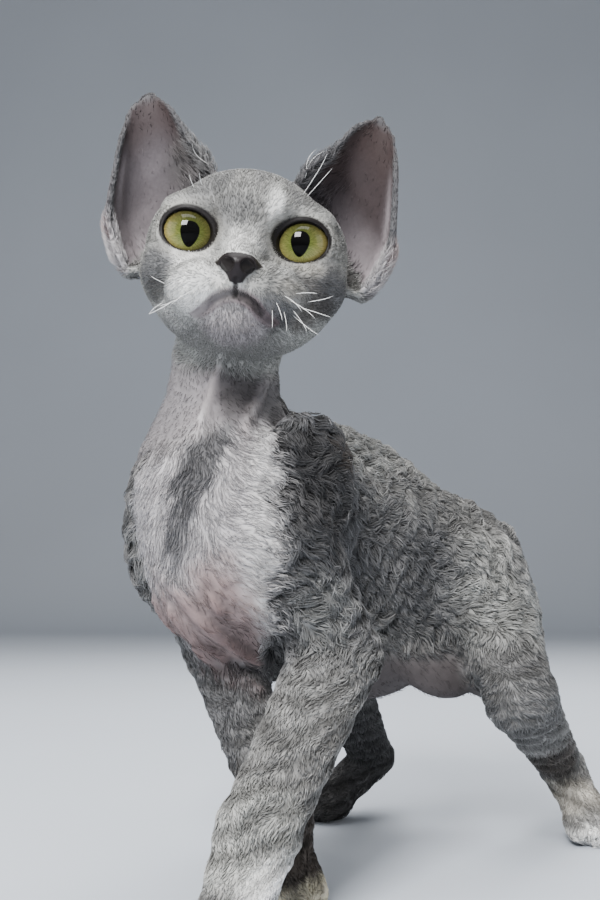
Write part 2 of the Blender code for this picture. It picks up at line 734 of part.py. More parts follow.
def inflate(obj, amount):
    bm = bmesh.new()
    bm.from_mesh(obj.data)
    bm.normal_update()
    for v, n in [(v, v.normal.copy()) for v in bm.verts]:
        v.co += n * amount
    bm.to_mesh(obj.data)
    bm.free()


def make_head(flesh):
    head = copy_of(flesh, "head")
    point, normal = np.array(HEAD_CUT[0]), np.array(HEAD_CUT[1])
    across = unit(normal @ FACE)
    cut_plane(head, from_face(point) - across * 8.0, across)

    def face_part(reach):
        def chosen(centres):
            q = (centres - np.array(EYES_MIDDLE)) @ FACE.T
            return (q[:, 1] < reach) & (q[:, 2] > -41) & (q[:, 2] < 17)
        return chosen

    refine(head, face_part(14.0))
    settle(head, flesh_field, 2, relax=0.4)
    refine(head, face_part(6.0))
    settle(head, flesh_field, 4, relax=0.35)
    thin(head, HEAD_TRIANGLES)
    cut_plane(head, from_face(point) + across * SEAM / 2, across)
    return head


def make_body(flesh):
    body = copy_of(flesh, "torso")
    refine(body, lambda centres: centres[:, 2] < 22.0)
    settle(body, flesh_field, 3, relax=0.35)
    point, normal = np.array(HEAD_CUT[0]), np.array(HEAD_CUT[1])
    across = unit(normal @ FACE)
    cut_plane(body, from_face(point) + across * 8.0, -across)
    p = points_of(body)
    p[:, 2] = np.maximum(p[:, 2], 0.0)
    set_points(body, p)
    thin(body, BODY_TRIANGLES)
    p = points_of(body)
    p[p[:, 2] < 0.12, 2] = 0.0
    set_points(body, p)
    cut_plane(body, from_face(point) - across * SEAM / 2, -across)
    return body


def main():
    clear_scene()
    flesh = make_flesh()
    head = make_head(flesh)
    body = make_body(flesh)
    bpy.data.objects.remove(flesh)

    ears = []
    for side in (1, -1):
        ear = make_ear(side)
        grown = copy_of(head, "grown")
        inflate(grown, SEAM)
        boolean(ear, grown, "DIFFERENCE")
        keep_largest(ear)
        ears.append(ear)
    eyes = []
    for side in (1, -1):
        name = "eye_left" if side > 0 else "eye_right"
        eyes.append(ball_object(name, eye_centre(side), (EYE_RADIUS,) * 3, FACE, 3))
        socket = ball_object("socket", eye_centre(side), (EYE_RADIUS + SEAM,) * 3, FACE, 3)
        boolean(head, socket, "DIFFERENCE")
        boolean(head, eye_opening(side), "DIFFERENCE")
    nose = make_nose()
    boolean(head, plug("pocket", outline_ring(SEAM), -40.0, NOSE_BACK + SEAM), "DIFFERENCE")
    keep_largest(head)

    limbs = {}
    for name, rods in LIMB_REGIONS.items():
        limbs[name] = take_limb(body, name, rods)
    for name, (names, cuts) in LIMB_CUTS.items():
        part_by(limbs[name], names, cuts)
    part_by(body, ["torso", "neck"], [NECK_CUT])
    finish()


def finish():
    """Materials, then the origin at the middle of the box on the floor, in metres."""
    parts = [o for o in bpy.data.objects if o.type == "MESH"]
    everything = np.concatenate([points_of(o) for o in parts])
    low, high = everything.min(axis=0), everything.max(axis=0)
    shift = np.array([-(low[0] + high[0]) / 2, -(low[1] + high[1]) / 2, -low[2]])
    print("shift", shift)
    for obj in parts:
        p = points_of(obj)
        set_points(obj, (p + shift) * MM)
        kind = kind_of(obj.name)
        obj.data.materials.clear()
        obj.data.materials.append(material(kind))
        for face in obj.data.polygons:
            face.use_smooth = False


MATERIALS = {"coat": ((0.42, 0.41, 0.42, 1.0), 0.9), "ear": ((0.40, 0.34, 0.35, 1.0), 0.8),
             "eye": ((0.45, 0.47, 0.12, 1.0), 0.1), "nose leather": ((0.10, 0.06, 0.06, 1.0), 0.5)}


def kind_of(name):
    return {"eye": "eye", "ear": "ear", "nose": "nose leather"}.get(name.split("_")[0], "coat")


def material(kind):
    made = bpy.data.materials.get(kind)
    if made:
        return made
    colour, roughness = MATERIALS[kind]
    made = bpy.data.materials.new(kind)
    made.use_nodes = True
    shader = made.node_tree.nodes["Principled BSDF"]
    shader.inputs["Base Color"].default_value = colour
    shader.inputs["Roughness"].default_value = roughness
    return made


if __name__ == "__main__":
    main()
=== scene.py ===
# The standing Devon Rex kitten, dressed: one skin over the solids' flesh, wet eyes, a short wavy coat
# of small tufts, whiskers and ear hair, on a pale studio floor.
# Lengths are millimetres in the kitten's own frame until toScene. X is its left, -Y its front, Z up.
import math

import bpy
import numpy as np
from mathutils import Matrix, Vector
from mathutils.bvhtree import BVHTree
from mathutils.kdtree import KDTree


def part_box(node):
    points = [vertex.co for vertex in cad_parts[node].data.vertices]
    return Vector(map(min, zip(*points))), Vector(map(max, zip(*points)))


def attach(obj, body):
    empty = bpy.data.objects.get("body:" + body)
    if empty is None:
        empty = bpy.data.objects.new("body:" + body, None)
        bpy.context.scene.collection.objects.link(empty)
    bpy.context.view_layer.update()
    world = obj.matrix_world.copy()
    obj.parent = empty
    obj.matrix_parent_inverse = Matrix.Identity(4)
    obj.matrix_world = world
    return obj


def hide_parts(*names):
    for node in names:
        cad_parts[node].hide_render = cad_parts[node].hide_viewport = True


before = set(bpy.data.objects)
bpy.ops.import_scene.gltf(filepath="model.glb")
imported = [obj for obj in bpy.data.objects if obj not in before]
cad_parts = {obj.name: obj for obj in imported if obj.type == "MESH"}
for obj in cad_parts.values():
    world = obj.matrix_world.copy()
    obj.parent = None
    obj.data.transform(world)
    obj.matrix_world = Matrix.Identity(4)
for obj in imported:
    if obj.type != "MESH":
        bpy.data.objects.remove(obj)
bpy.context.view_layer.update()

skeleton = {
    "eyesMiddle": (29.5, -79.5, 204.5), "faceTowards": (0.750, -0.660, -0.050), "faceRoll": 6.0,
    "neckBase": (-5, -64, 139), "neckTop": (-3.5, -59, 182),
    "leftFore": [(31, -64, 108), (34, -44.5, 73), (51, -91, 28), (60, -108, 9)],
    "rightFore": [(-11, -76, 108), (-10, -57, 74), (27, -62, 25), (30, -62, 8.6)],
    "leftHind": [(19, 49, 100), (48, 33, 55), (30, 83, 23.5), (47, 74, 8)],
    "rightHind": [(-13, 48, 100), (-21, 6, 61), (-42, 50, 23), (-45, 29, 8)],
    "tail": [(5, 76, 112), (-3, 96, 102), (-20, 116, 94), (-44, 134, 91), (-72, 150, 94), (-102, 164, 102)],
}
eye = {
    "radius": 9.6, "centre": (18.3, 6.4, 0.0), "opening": (8.5, 6.6), "openingMiddle": (18.5, -0.5), "tilt": 10.0,
    "openingDepth": 8.5, "openingAhead": 10.5, "ringScale": 6.8,
    "rimWide": 9.1, "rimTall": 7.7, "rimReach": 0.7, "rimThick": 0.8, "rimPoints": 24,
    "irisRadius": 9.0, "bulge": 0.05,
    "gazeLeft": (-0.075, -0.966, -0.165), "gazeRight": (0.115, -0.966, -0.225),  # in the face's axes
    "pupilWide": 0.285, "pupilTall": 0.41,
}


def unit(v):
    v = np.asarray(v, float)
    return v / np.linalg.norm(v)


def tilted(pitch=0.0, yaw=0.0, roll=0.0):
    turn = Matrix.Rotation(math.radians(yaw), 3, "Z") @ Matrix.Rotation(math.radians(pitch), 3, "X")
    return np.array((turn @ Matrix.Rotation(math.radians(roll), 3, "Y")).transposed())


def faceAxes():
    front = unit(skeleton["faceTowards"])
    left = unit(np.cross((0, 0, 1), front))
    up = np.cross(front, left)
    lean = math.radians(skeleton["faceRoll"])
    return np.array([left * math.cos(lean) - up * math.sin(lean), -front,
                     up * math.cos(lean) + left * math.sin(lean)])


face = faceAxes()


def fromFace(p):
    return np.asarray(skeleton["eyesMiddle"]) + np.asarray(p, float) @ face


def toFace(p):
    return (p - np.asarray(skeleton["eyesMiddle"])) @ face.T


low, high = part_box("eye_left")
shift = np.array((low + high) / 2) * 1000 - fromFace(eye["centre"])  # from the kitten's frame to the scene's


def toScene(p):
    return (np.asarray(p, float) + shift) / 1000


def fromScene(p):
    return np.asarray(p, float) * 1000 - shift


# The flesh as masses, the same as in the solids: a ball is an ellipsoid and a rod is a round cone
def ball(centre, radii, axes=None):
    axes = np.eye(3) if axes is None else np.asarray(axes)
    return {"centre": np.array(centre, float), "radii": np.array(radii, float), "axes": axes}


def rod(a, b, startRadius, endRadius):
    return {"a": np.array(a, float), "b": np.array(b, float), "ra": startRadius, "rb": endRadius}


def chain(points, radii):
    return [rod(points[i], points[i + 1], radii[i], radii[i + 1]) for i in range(len(points) - 1)]


def onFace(mass):
    if "centre" in mass:
        return ball(fromFace(mass["centre"]), mass["radii"], mass["axes"] @ face)
    return rod(fromFace(mass["a"]), fromFace(mass["b"]), mass["ra"], mass["rb"])


def mirrored(mass):
    flip = np.array([-1.0, 1.0, 1.0])
    if "centre" in mass:
        return ball(mass["centre"] * flip, mass["radii"], mass["axes"] * flip * flip[:, None])
    return rod(mass["a"] * flip, mass["b"] * flip, mass["ra"], mass["rb"])


def bothSides(masses):
    return masses + [mirrored(m) for m in masses]


def distance(p, mass):
    if "centre" in mass:
        q = (p - mass["centre"]) @ mass["axes"].T
        near = np.linalg.norm(q / mass["radii"], axis=1)
        return near * (near - 1) / (np.linalg.norm(q / mass["radii"] ** 2, axis=1) + 1e-9)
    ab = mass["b"] - mass["a"]
    t = np.clip((p - mass["a"]) @ ab / (ab @ ab), 0, 1)
    return np.linalg.norm(p - (mass["a"] + t[:, None] * ab), axis=1) - (mass["ra"] + t * (mass["rb"] - mass["ra"]))


def join(f, g, blend):
    h = np.clip(0.5 + 0.5 * (g - f) / blend, 0, 1)
    return g * (1 - h) + f * h - blend * h * (1 - h)


def carve(f, g, blend):
    return -join(-f, g, blend)


def smooth(low, high, x):
    t = np.clip((x - low) / (high - low), 0, 1)
    return t * t * (3 - 2 * t)


def toes(palm, heading, spread, size):
    palm = np.array(palm, float)
    ahead = unit((heading[0], heading[1], 0))
    side = np.array([-ahead[1], ahead[0], 0])
    made = [rod(palm, palm + ahead * 5.0 - (0, 0, 2.0), size * 1.9, size * 1.8)]
    for place, reach in ((-1.5, 8.0), (-0.5, 11.5), (0.5, 11.5), (1.5, 8.0)):
        root = palm + side * place * spread * 0.75
        tip = palm + side * place * spread + ahead * reach
        root[2], tip[2] = size + 4.0, size - 0.4
        made.append(rod(root, tip, size, size))
    return made


neckRods = [rod(skeleton["neckBase"], skeleton["neckTop"], 20.5, 18.8),
            rod((-1, -74, 125), skeleton["neckBase"], 20, 19)]
tailRods = chain(skeleton["tail"], [10, 7.4, 5.9, 5, 4.2, 2.6])

# Each group: blend inside the group, blend to the body before it, masses
groups = [
    (16, 1, [ball((0, -44, 108), (29, 44, 46), tilted(pitch=6, yaw=8)), ball((-3, 6, 98), (30, 46, 46)),
             ball((-4, -12, 127), (18, 48, 28), tilted(pitch=-9)),
             ball((2, 50, 99), (24, 33, 32), tilted(pitch=-20)),
             ball((10, -78, 110), (21, 18, 31), tilted(yaw=14))]),
    (2, 9, [ball((27, -55, 117), (13, 25, 38), tilted(pitch=-22, yaw=8)),
            ball((-18, -66, 120), (13, 25, 36), tilted(pitch=-22, yaw=8)),
            ball((24, 43, 83), (14, 27, 34), tilted(pitch=32, yaw=-10)),
            ball((-19, 34, 88), (13, 28, 32), tilted(pitch=40, yaw=10)),
            ball((21, 22, 66), (6, 20, 13), tilted(pitch=-12, yaw=-8)),
            ball((-19, 10, 68), (6, 20, 13), tilted(pitch=-12, yaw=6))]),
    (10, 13, neckRods),
    (4, 6, chain(skeleton["leftFore"], [17, 14.5, 11.5, 9.6])),
    (4, 6, chain(skeleton["rightFore"], [14, 12.5, 9.6, 9.0])),
    (4, 6, chain(skeleton["leftHind"], [17, 12.8, 8.4, 8.0])),
    (4, 6, chain(skeleton["rightHind"], [17, 14, 8.4, 8.0])),
    (3, 8, tailRods),
    (1.6, 3, toes(skeleton["leftFore"][3], (0.45, -0.9), 5.8, 4.6)),
    (1.6, 3, toes(skeleton["rightFore"][3], (0.8, -0.6), 5.6, 4.4)),
    (1.6, 3, toes(skeleton["leftHind"][3], (0.88, -0.48), 5.6, 4.4)),
    (1.6, 3, toes(skeleton["rightHind"][3], (-0.2, -0.98), 5.6, 4.4)),
]


def lidRim():
    lean = math.radians(eye["tilt"])
    reach = eye["radius"] + eye["rimReach"]
    points = []
    for i in range(eye["rimPoints"] + 1):
        turn = math.tau * i / eye["rimPoints"]
        x, z = eye["rimWide"] * math.cos(turn), eye["rimTall"] * math.sin(turn)
        x, z = x * math.cos(lean) - z * math.sin(lean), x * math.sin(lean) + z * math.cos(lean)
        y = -math.sqrt(reach ** 2 - x ** 2 - z ** 2)
        points.append((eye["centre"][0] + x, eye["centre"][1] + y, eye["centre"][2] + z))
    return chain(points, [eye["rimThick"]] * len(points))


# Skull, forehead, cheeks, temples, jaw, bridge, whisker pads, chin, brows, nose, eye basin, lids, lid rims
headMasses = [
    (join, 1, [ball((0, 24, 2), (29.5, 32, 23))]),
    (join, 8, [ball((0, 8, 8.5), (20, 15, 14))]),
    (join, 7, bothSides([ball((19, 13, -11.5), (15, 17, 13))])),
    (join, 7, bothSides([ball((22.5, 18, 1), (10.5, 14, 13))])),
    (join, 8, [ball((0, 14, -22), (26, 24, 15))]),
    (join, 5, [rod((0, 3.5, -0.5), (0, -13, -10.3), 8, 5.5)]),
    (join, 4.5, bothSides([ball((9.8, -6.5, -20), (13, 12.4, 9.9), tilted(yaw=18))])),
    (join, 5.5, [ball((0, -4, -29.5), (10.5, 10, 7.5))]),
    (join, 4, bothSides([ball((17.5, 6.5, 9), (10.5, 8, 5))])),
    (join, 2, [ball((0, -16, -13.5), (6.6, 5.2, 4.4)), ball((0, -16, -17), (3.2, 4, 3.6))]),
    (carve, 3, bothSides([ball((17.3, -7, 0), (9.5, 8, 8.6))])),
    (join, 2.5, bothSides([ball(eye["centre"], (eye["radius"] + 1.4,) * 3)])),
    (join, 1.6, bothSides(lidRim())),
]
grooves = [
    (0.4, 0.6, [(0, -19), (0, -20.8), (0, -22.8)]),
    (0.5, 0.85, [(0, -22.4), (2.8, -23.2), (5.4, -24.8), (7.8, -26.8), (10, -28.3), (12.5, -29.4)]),
]
nostrils = bothSides([rod((3.4, -26, -14.9), (2.9, -16, -13.8), 1.6, 1.5),
                      rod((3.6, -24, -14.8), (8.0, -17, -13.2), 0.85, 0.7)])
openings = [ball((side * eye["openingMiddle"][0], eye["centre"][1] - eye["openingAhead"], eye["openingMiddle"][1]),
                 (eye["opening"][0], eye["openingDepth"], eye["opening"][1]), tilted(roll=-eye["tilt"] * side))
            for side in (1, -1)]
tearCorners = bothSides([rod((11.8, -5.5, -2.2), (9.0, -6.2, -3.6), 1.2, 0.4)])
nearHead = 82.0  # mm around the middle of the head within which the head's masses matter


def bodyField(p):
    body = None
    for inner, outer, masses in groups:
        group = None
        for mass in masses:
            d = distance(p, mass)
            group = d if group is None else join(group, d, inner)
        body = group if body is None else join(body, group, outer)
    return body


headMasses = [(how, blend, [onFace(m) for m in masses]) for how, blend, masses in headMasses]


def plainHeadField(p):
    head = None
    for how, blend, masses in headMasses:
        for mass in masses:
            d = distance(p, mass)
            head = d if head is None else how(head, d, blend)
    return head


def pressed(path):
    path = np.array(path, float)
    p = np.stack([path[:, 0], np.full(len(path), -40.0), path[:, 1]], axis=1)
    for _ in range(60):
        p[:, 1] += np.clip(plainHeadField(fromFace(p)), -0.5, 3.0) * 0.8
    return p


mouthPath = pressed(grooves[1][2])
mouthRods = [onFace(m) for m in bothSides(chain(list(mouthPath), [0.0] * len(mouthPath)))]
hollows = []
for softness, wide, path in grooves:
    rods = bothSides(chain(list(pressed(path)), [wide] * (len(path) - 1) + [wide / 2]))
    hollows.append((softness, [onFace(m) for m in rods]))
hollows += [(0.5, [onFace(m) for m in nostrils]),
            (2.5, [onFace(m) for m in bothSides([ball((31.5, 29, 7), (8, 9.5, 12), tilted(roll=12))])])]
eyeHollows = [(0.5, [onFace(m) for m in openings]), (0.5, [onFace(m) for m in tearCorners])]

# The ears: two edges from base to tip, the depth of the cup behind them, and the relief inside
ear = {
    "inner": [(13, 17, 23), (17.3, 17, 30.8), (22.8, 17.5, 35.5), (28.3, 19, 43), (32.1, 21, 48), (36.2, 23.5, 51.5),
              (39.3, 25, 53)],
    "outer": [(38, 15, -11.5), (43, 17, -5), (47.2, 18, 5), (47.4, 18, 14), (47.2, 18.5, 22), (46.9, 19, 29.5),
              (46.2, 20.5, 38), (44.9, 22.5, 45.8), (42.2, 24.5, 51.4), (39.3, 25, 53)],
    "depth": [24, 22.5, 20, 17, 13.5, 10, 7, 4.5, 2.5, 0.8],
    "thick": 1.25, "levels": 56, "around": 49,
}


def along(points, t):
    p = np.array(points, float)
    length = np.concatenate([[0], np.cumsum(np.linalg.norm(np.diff(p, axis=0), axis=1))])
    return np.stack([np.interp(t * length[-1], length, p[:, i]) for i in range(3)], axis=-1)


# The middle of one ear's shell: its points, their place across (0 inner edge, 1 outer) and up it
def earSheet(side):
    t = np.linspace(0, 1, ear["levels"]) ** 0.85
    s = np.linspace(0, 1, ear["around"])
    inner, outer = along(ear["inner"], t), along(ear["outer"], t)
    depth = np.interp(t, np.linspace(0, 1, len(ear["depth"])), ear["depth"])
    back = np.stack([0.12 + 0.2 * (1 - t), np.ones_like(t), np.zeros_like(t)], axis=1)
    back /= np.linalg.norm(back, axis=1)[:, None]
    turn = math.pi * s[None, :, None]
    p = ((inner + outer) / 2)[:, None] + ((inner - outer) / 2)[:, None] * np.cos(turn)
    p = p + back[:, None] * depth[:, None, None] * np.sin(turn) ** 0.9
    tt, ss = np.meshgrid(t, s, indexing="ij")
    # two soft ridges that run up the cup, and the small pouch at the foot of the outer edge
    ridges = 1.5 * np.exp(-((ss - 0.72 - 0.10 * tt) / 0.035) ** 2) * smooth(0.75, 0.35, tt)
    ridges += 0.8 * np.exp(-((ss - 0.60) / 0.03) ** 2) * smooth(0.5, 0.2, tt)
    ridges -= 1.3 * np.exp(-((ss - 0.87) / 0.06) ** 2 - ((tt - 0.24) / 0.10) ** 2)
    ridges += 1.8 * np.exp(-((ss - 0.965) / 0.035) ** 2 - ((tt - 0.22) / 0.10) ** 2)
    p = p - back[:, None] * ridges[:, :, None]
    root = p[0] + (np.array((12.0, 25.0, -4.0)) - p[0]) * 0.45
    p = np.concatenate([root[None], p])
    tt, ss = np.concatenate([tt[:1] - 0.05, tt]), np.concatenate([ss[:1], ss])
    p[:, :, 0] *= side
    return fromFace(p.reshape(-1, 3)), ss.ravel(), tt.ravel()


def earTree(side):
    p, s, t = earSheet(side)
    rows, count = ear["levels"] + 1, ear["around"]
    faces = [(i * count + j, i * count + j + 1, (i + 1) * count + j + 1, (i + 1) * count + j)
             for i in range(rows - 1) for j in range(count - 1)]
    middle = np.array([[s[list(f)].mean(), t[list(f)].mean()] for f in faces])
    return BVHTree.FromPolygons([tuple(v) for v in p], faces), middle


earTrees = {side: earTree(side) for side in (1, -1)}


# How far each point is from the ear's middle sheet, its place on it, and the way straight out of it
def earDistance(p, side):
    tree, middle = earTrees[side]
    d = np.full(len(p), 99.0)
    place = np.zeros((len(p), 2))
    out = np.zeros((len(p), 3))
    centre = fromFace((34.0 * side, 24.0, 20.0))
    for i in np.flatnonzero(((p - centre) ** 2).sum(axis=1) < 48.0 ** 2):
        hit, _, index, far = tree.find_nearest(p[i], 10.0)
        if hit is not None:
            d[i] = far
            place[i] = middle[index]
            out[i] = (p[i] - np.array(hit)) / (far + 1e-9)
    return d, place, out


# 1 on an ear's shell, falling to 0 off it, and 1 on the side of a shell that faces the front
def onEarShell(d, place):
    return smooth(2.6, 1.4, d) * smooth(-0.01, 0.05, place[:, 1])


def facingFront(out):
    return smooth(0.15, -0.15, (out @ face.T)[:, 1])


# The flesh's surface without the ears: below 0 inside
def fleshField(p):
    field = bodyField(p)
    near = ((p - fromFace((0, 12, -2))) ** 2).sum(axis=1) < nearHead ** 2
    if near.any():
        q = p[near]
        head = plainHeadField(q)
        for blend, masses in hollows + eyeHollows:
            for mass in masses:
                head = carve(head, distance(q, mass), blend)
        field[near] = join(field[near], head, 7.0)
    return field


# Smooth noise from hashed lattice values, -1 to 1
def noise(p, size, seed=0):
    q = p / size + seed * 7.31
    cell = np.floor(q)
    f = q - cell
    f = f * f * (3 - 2 * f)
    total = 0.0
    for corner in range(8):
        step = np.array([(corner >> k) & 1 for k in range(3)])
        h = np.sin((cell + step) @ np.array([127.1, 311.7, 74.7])) * 43758.5453
        weight = np.prod(np.where(step == 1, f, 1 - f), axis=1)
        total = total + weight * (h - np.floor(h))
    return total * 2 - 1


def nearest(p, masses):
    d = np.full(len(p), 99.0)
    for mass in masses:
        d = np.minimum(d, distance(p, mass))
    return d


limbRods = [mass for name, radii in (("leftFore", (15, 14, 11.5, 9.6)), ("rightFore", (13, 12, 9.6, 9)),
                                     ("leftHind", (14, 12.8, 8.4, 8)), ("rightHind", (14, 13, 8.4, 8)))
            for mass in chain(skeleton[name], radii)]


# 1 inside an ellipsoid, falling to 0 over a soft edge
def bump(p, centre, radii, soft=0.35):
    near = np.linalg.norm((p - np.array(centre, float)) / np.array(radii, float), axis=1)
    return smooth(1 + soft, 1 - soft, near)


def lineDistance(p, points):
    return nearest(p, chain([np.array(q, float) for q in points], [0.0] * len(points)))


# Where things are on the kitten: masks from 0 to 1 for each point
def regions(p):
    q = toFace(p)
    r = {}
    near = np.linalg.norm(q - (0, 12, -2), axis=1) < 60
    skull = np.full(len(p), 20.0)
    if near.any():
        skull[near] = plainHeadField(p[near])
    r["head"] = smooth(10, 2, skull) * smooth(-44, -36, q[:, 2] + 0.35 * np.maximum(q[:, 1] - 16, 0))
    r["limb"] = smooth(8, 0, nearest(p, limbRods)) * smooth(88, 62, p[:, 2])
    r["paw"] = smooth(30, 18, p[:, 2])
    r["tail"] = smooth(4, -1, nearest(p, tailRods)) * smooth(72, 90, p[:, 1])
    r["around"] = np.degrees(np.arctan2(p[:, 0] - 5, -(p[:, 1] + 50)))  # 0 is straight ahead, 90 its left
    r["neck"] = smooth(6, 2, nearest(p, neckRods)) * smooth(132, 146, p[:, 2]) * (1 - r["head"])
    r["neck"] *= smooth(95, 75, np.abs(r["around"] - 12))
    left = 54 + 4 * noise(p, 7, 41) + 5 * noise(p, 1.6, 42)
    right = -15 - 20 * smooth(98, 78, p[:, 2]) + 4 * noise(p, 6, 43)
    r["chest"] = smooth(4, -4, r["around"] - left) * smooth(-3, 3, r["around"] - right) * smooth(56, 64, p[:, 2])
    r["chest"] *= (1 - r["head"]) * (1 - r["neck"]) * smooth(-44, -58, p[:, 1])
    r["belly"] = smooth(80, 68, p[:, 2] + 0.12 * np.abs(p[:, 0])) * (1 - r["limb"]) * (1 - r["tail"])
    r["belly"] *= smooth(-58, -46, p[:, 1]) * smooth(38, 50, p[:, 2])
    r["chest"] *= 1 - smooth(0.3, 0.8, r["limb"]) * smooth(80, 66, p[:, 2])
    r["mouth"] = np.full(len(p), 99.0)
    near = r["head"] > 0
    r["mouth"][near] = nearest(p[near], mouthRods)
    return r, q


# How far outside the lids' opening a point of the face is, and how high round it, -1 to 1
def eyeRing(q, side):
    x, z = q[:, 0] * side - eye["openingMiddle"][0], q[:, 2] - eye["openingMiddle"][1]
    lean = math.radians(eye["tilt"])
    a, b = x * math.cos(lean) + z * math.sin(lean), -x * math.sin(lean) + z * math.cos(lean)
    ring = np.hypot(a / eye["opening"][0], b / eye["opening"][1])
    far = (ring - 1) * eye["ringScale"]
    far[(q[:, 1] > 8) | (q[:, 0] * side < 2)] = 99.0
    return far, b / (np.hypot(a, b) + 1e-9), a / (np.hypot(a, b) + 1e-9)


noseOutline = [(0, -10.2), (3.6, -10.3), (6.2, -11.4), (7.5, -12.8), (6.4, -14.2), (4.4, -15.4), (2.9, -17.2),
               (1.9, -19), (0, -19.6)]


# How far inside the nose leather's outline, seen from the front
def noseMask(q):
    ring = np.array(noseOutline)
    highest, lowest = ring[0, 1], ring[-1, 1]
    z = q[:, 2]
    edge = np.interp(z, ring[::-1, 1], ring[::-1, 0]) - np.abs(q[:, 0])
    inside = np.minimum(edge, np.minimum(highest - z, z - lowest))
    return np.where((z > lowest) & (z < highest) & (q[:, 1] < -12), inside, -9)


# The marcel waves of the coat, 0 in a trough to 1 on a crest
def waves(p, r):
    warp = 2.7 * noise(p, 15, 1) + 1.3 * noise(p, 7, 2)
    trunk = np.sin(math.tau * (0.70 * p[:, 1] - 0.60 * p[:, 2]) / 6.4 + 1.25 * warp)
    limb = np.sin(math.tau * (-0.92 * p[:, 2] + 0.25 * p[:, 1]) / 5.2 + 1.1 * warp)
    wave = trunk * (1 - r["limb"]) + limb * r["limb"]
    return 0.5 + 0.5 * wave


def srgb(r, g, b):
    c = np.array((r, g, b)) / 255
    return np.where(c < 0.04045, c / 12.92, ((c + 0.055) / 1.055) ** 2.4)


shades = {
    "white": srgb(226, 225, 222), "silver": srgb(160, 160, 156), "grey": srgb(124, 123, 121),
    "slate": srgb(86, 86, 88), "charcoal": srgb(50, 49, 50), "thin": srgb(176, 172, 173),
    "beige": srgb(172, 167, 157), "brown": srgb(66, 58, 52), "dark": srgb(38, 35, 35), "lilac": srgb(140, 134, 136),
    "bare": srgb(76, 70, 70), "pink": srgb(134, 110, 106), "rose": srgb(96, 62, 59),
    # the lids' dark margins, and also the painted shade in the creases and openings of mouth and nose
    "lidBlackAndShade": srgb(15, 10, 10), "leather": srgb(23, 17, 19), "lip": srgb(86, 68, 71),
    "cream": srgb(205, 198, 176), "earDeep": srgb(92, 86, 89), "earPale": srgb(166, 157, 160),
    "earBrown": srgb(52, 41, 40),
}

# Patches of colour on the body: shade, centre, radii, strength; the kitten is blue-grey tabby and white
bodyPatches = [
    ("slate", (30, -52, 116), (36, 34, 48), 0.9), ("slate", (-24, -62, 116), (26, 34, 44), 0.75),
    ("charcoal", (38, -58, 128), (15, 16, 26), 0.8), ("silver", (44, -60, 88), (10, 12, 13), 0.35),
    ("charcoal", (-26, -60, 122), (16, 16, 26), 0.5),
    ("brown", (34, -41, 139), (9, 7, 9), 0.8), ("brown", (-24, -44, 138), (9, 7, 9), 0.6),
    ("silver", (4, 6, 147), (22, 46, 13), 0.6), ("slate", (30, -8, 104), (18, 30, 24), 0.65),
    ("slate", (28, 14, 96), (18, 22, 22), 0.5), ("silver", (38, 42, 96), (22, 28, 26), 0.6),
    ("silver", (-26, 34, 92), (24, 34, 32), 0.6), ("slate", (50, 30, 58), (18, 20, 18), 0.35),
    ("slate", (33, 52, 106), (6, 12, 16), 0.45), ("charcoal", (27, 38, 84), (7, 7, 7), 0.45),
    ("grey", (50, -62, 66), (16, 18, 18), 0.35), ("silver", (57, -100, 30), (16, 18, 16), 0.7),
    ("slate", (-2, -66, 54), (20, 22, 30), 0.8),
    ("white", (51, -36, 73), (4, 6, 11), 0.5), ("brown", (44, 60, 28), (14, 13, 9), 0.8),
    # the charcoal over the right hind leg is painted shade: the leg stands in the shadow under the belly
    ("beige", (40, 72, 16), (14, 13, 7), 0.8), ("charcoal", (-34, 30, 36), (26, 44, 40), 0.85),
    ("brown", (34, -62, 16), (13, 14, 13), 0.9), ("dark", (24, -64, 34), (13, 14, 14), 0.6),
    ("charcoal", (-40, 130, 92), (80, 40, 8), 0.25),
]
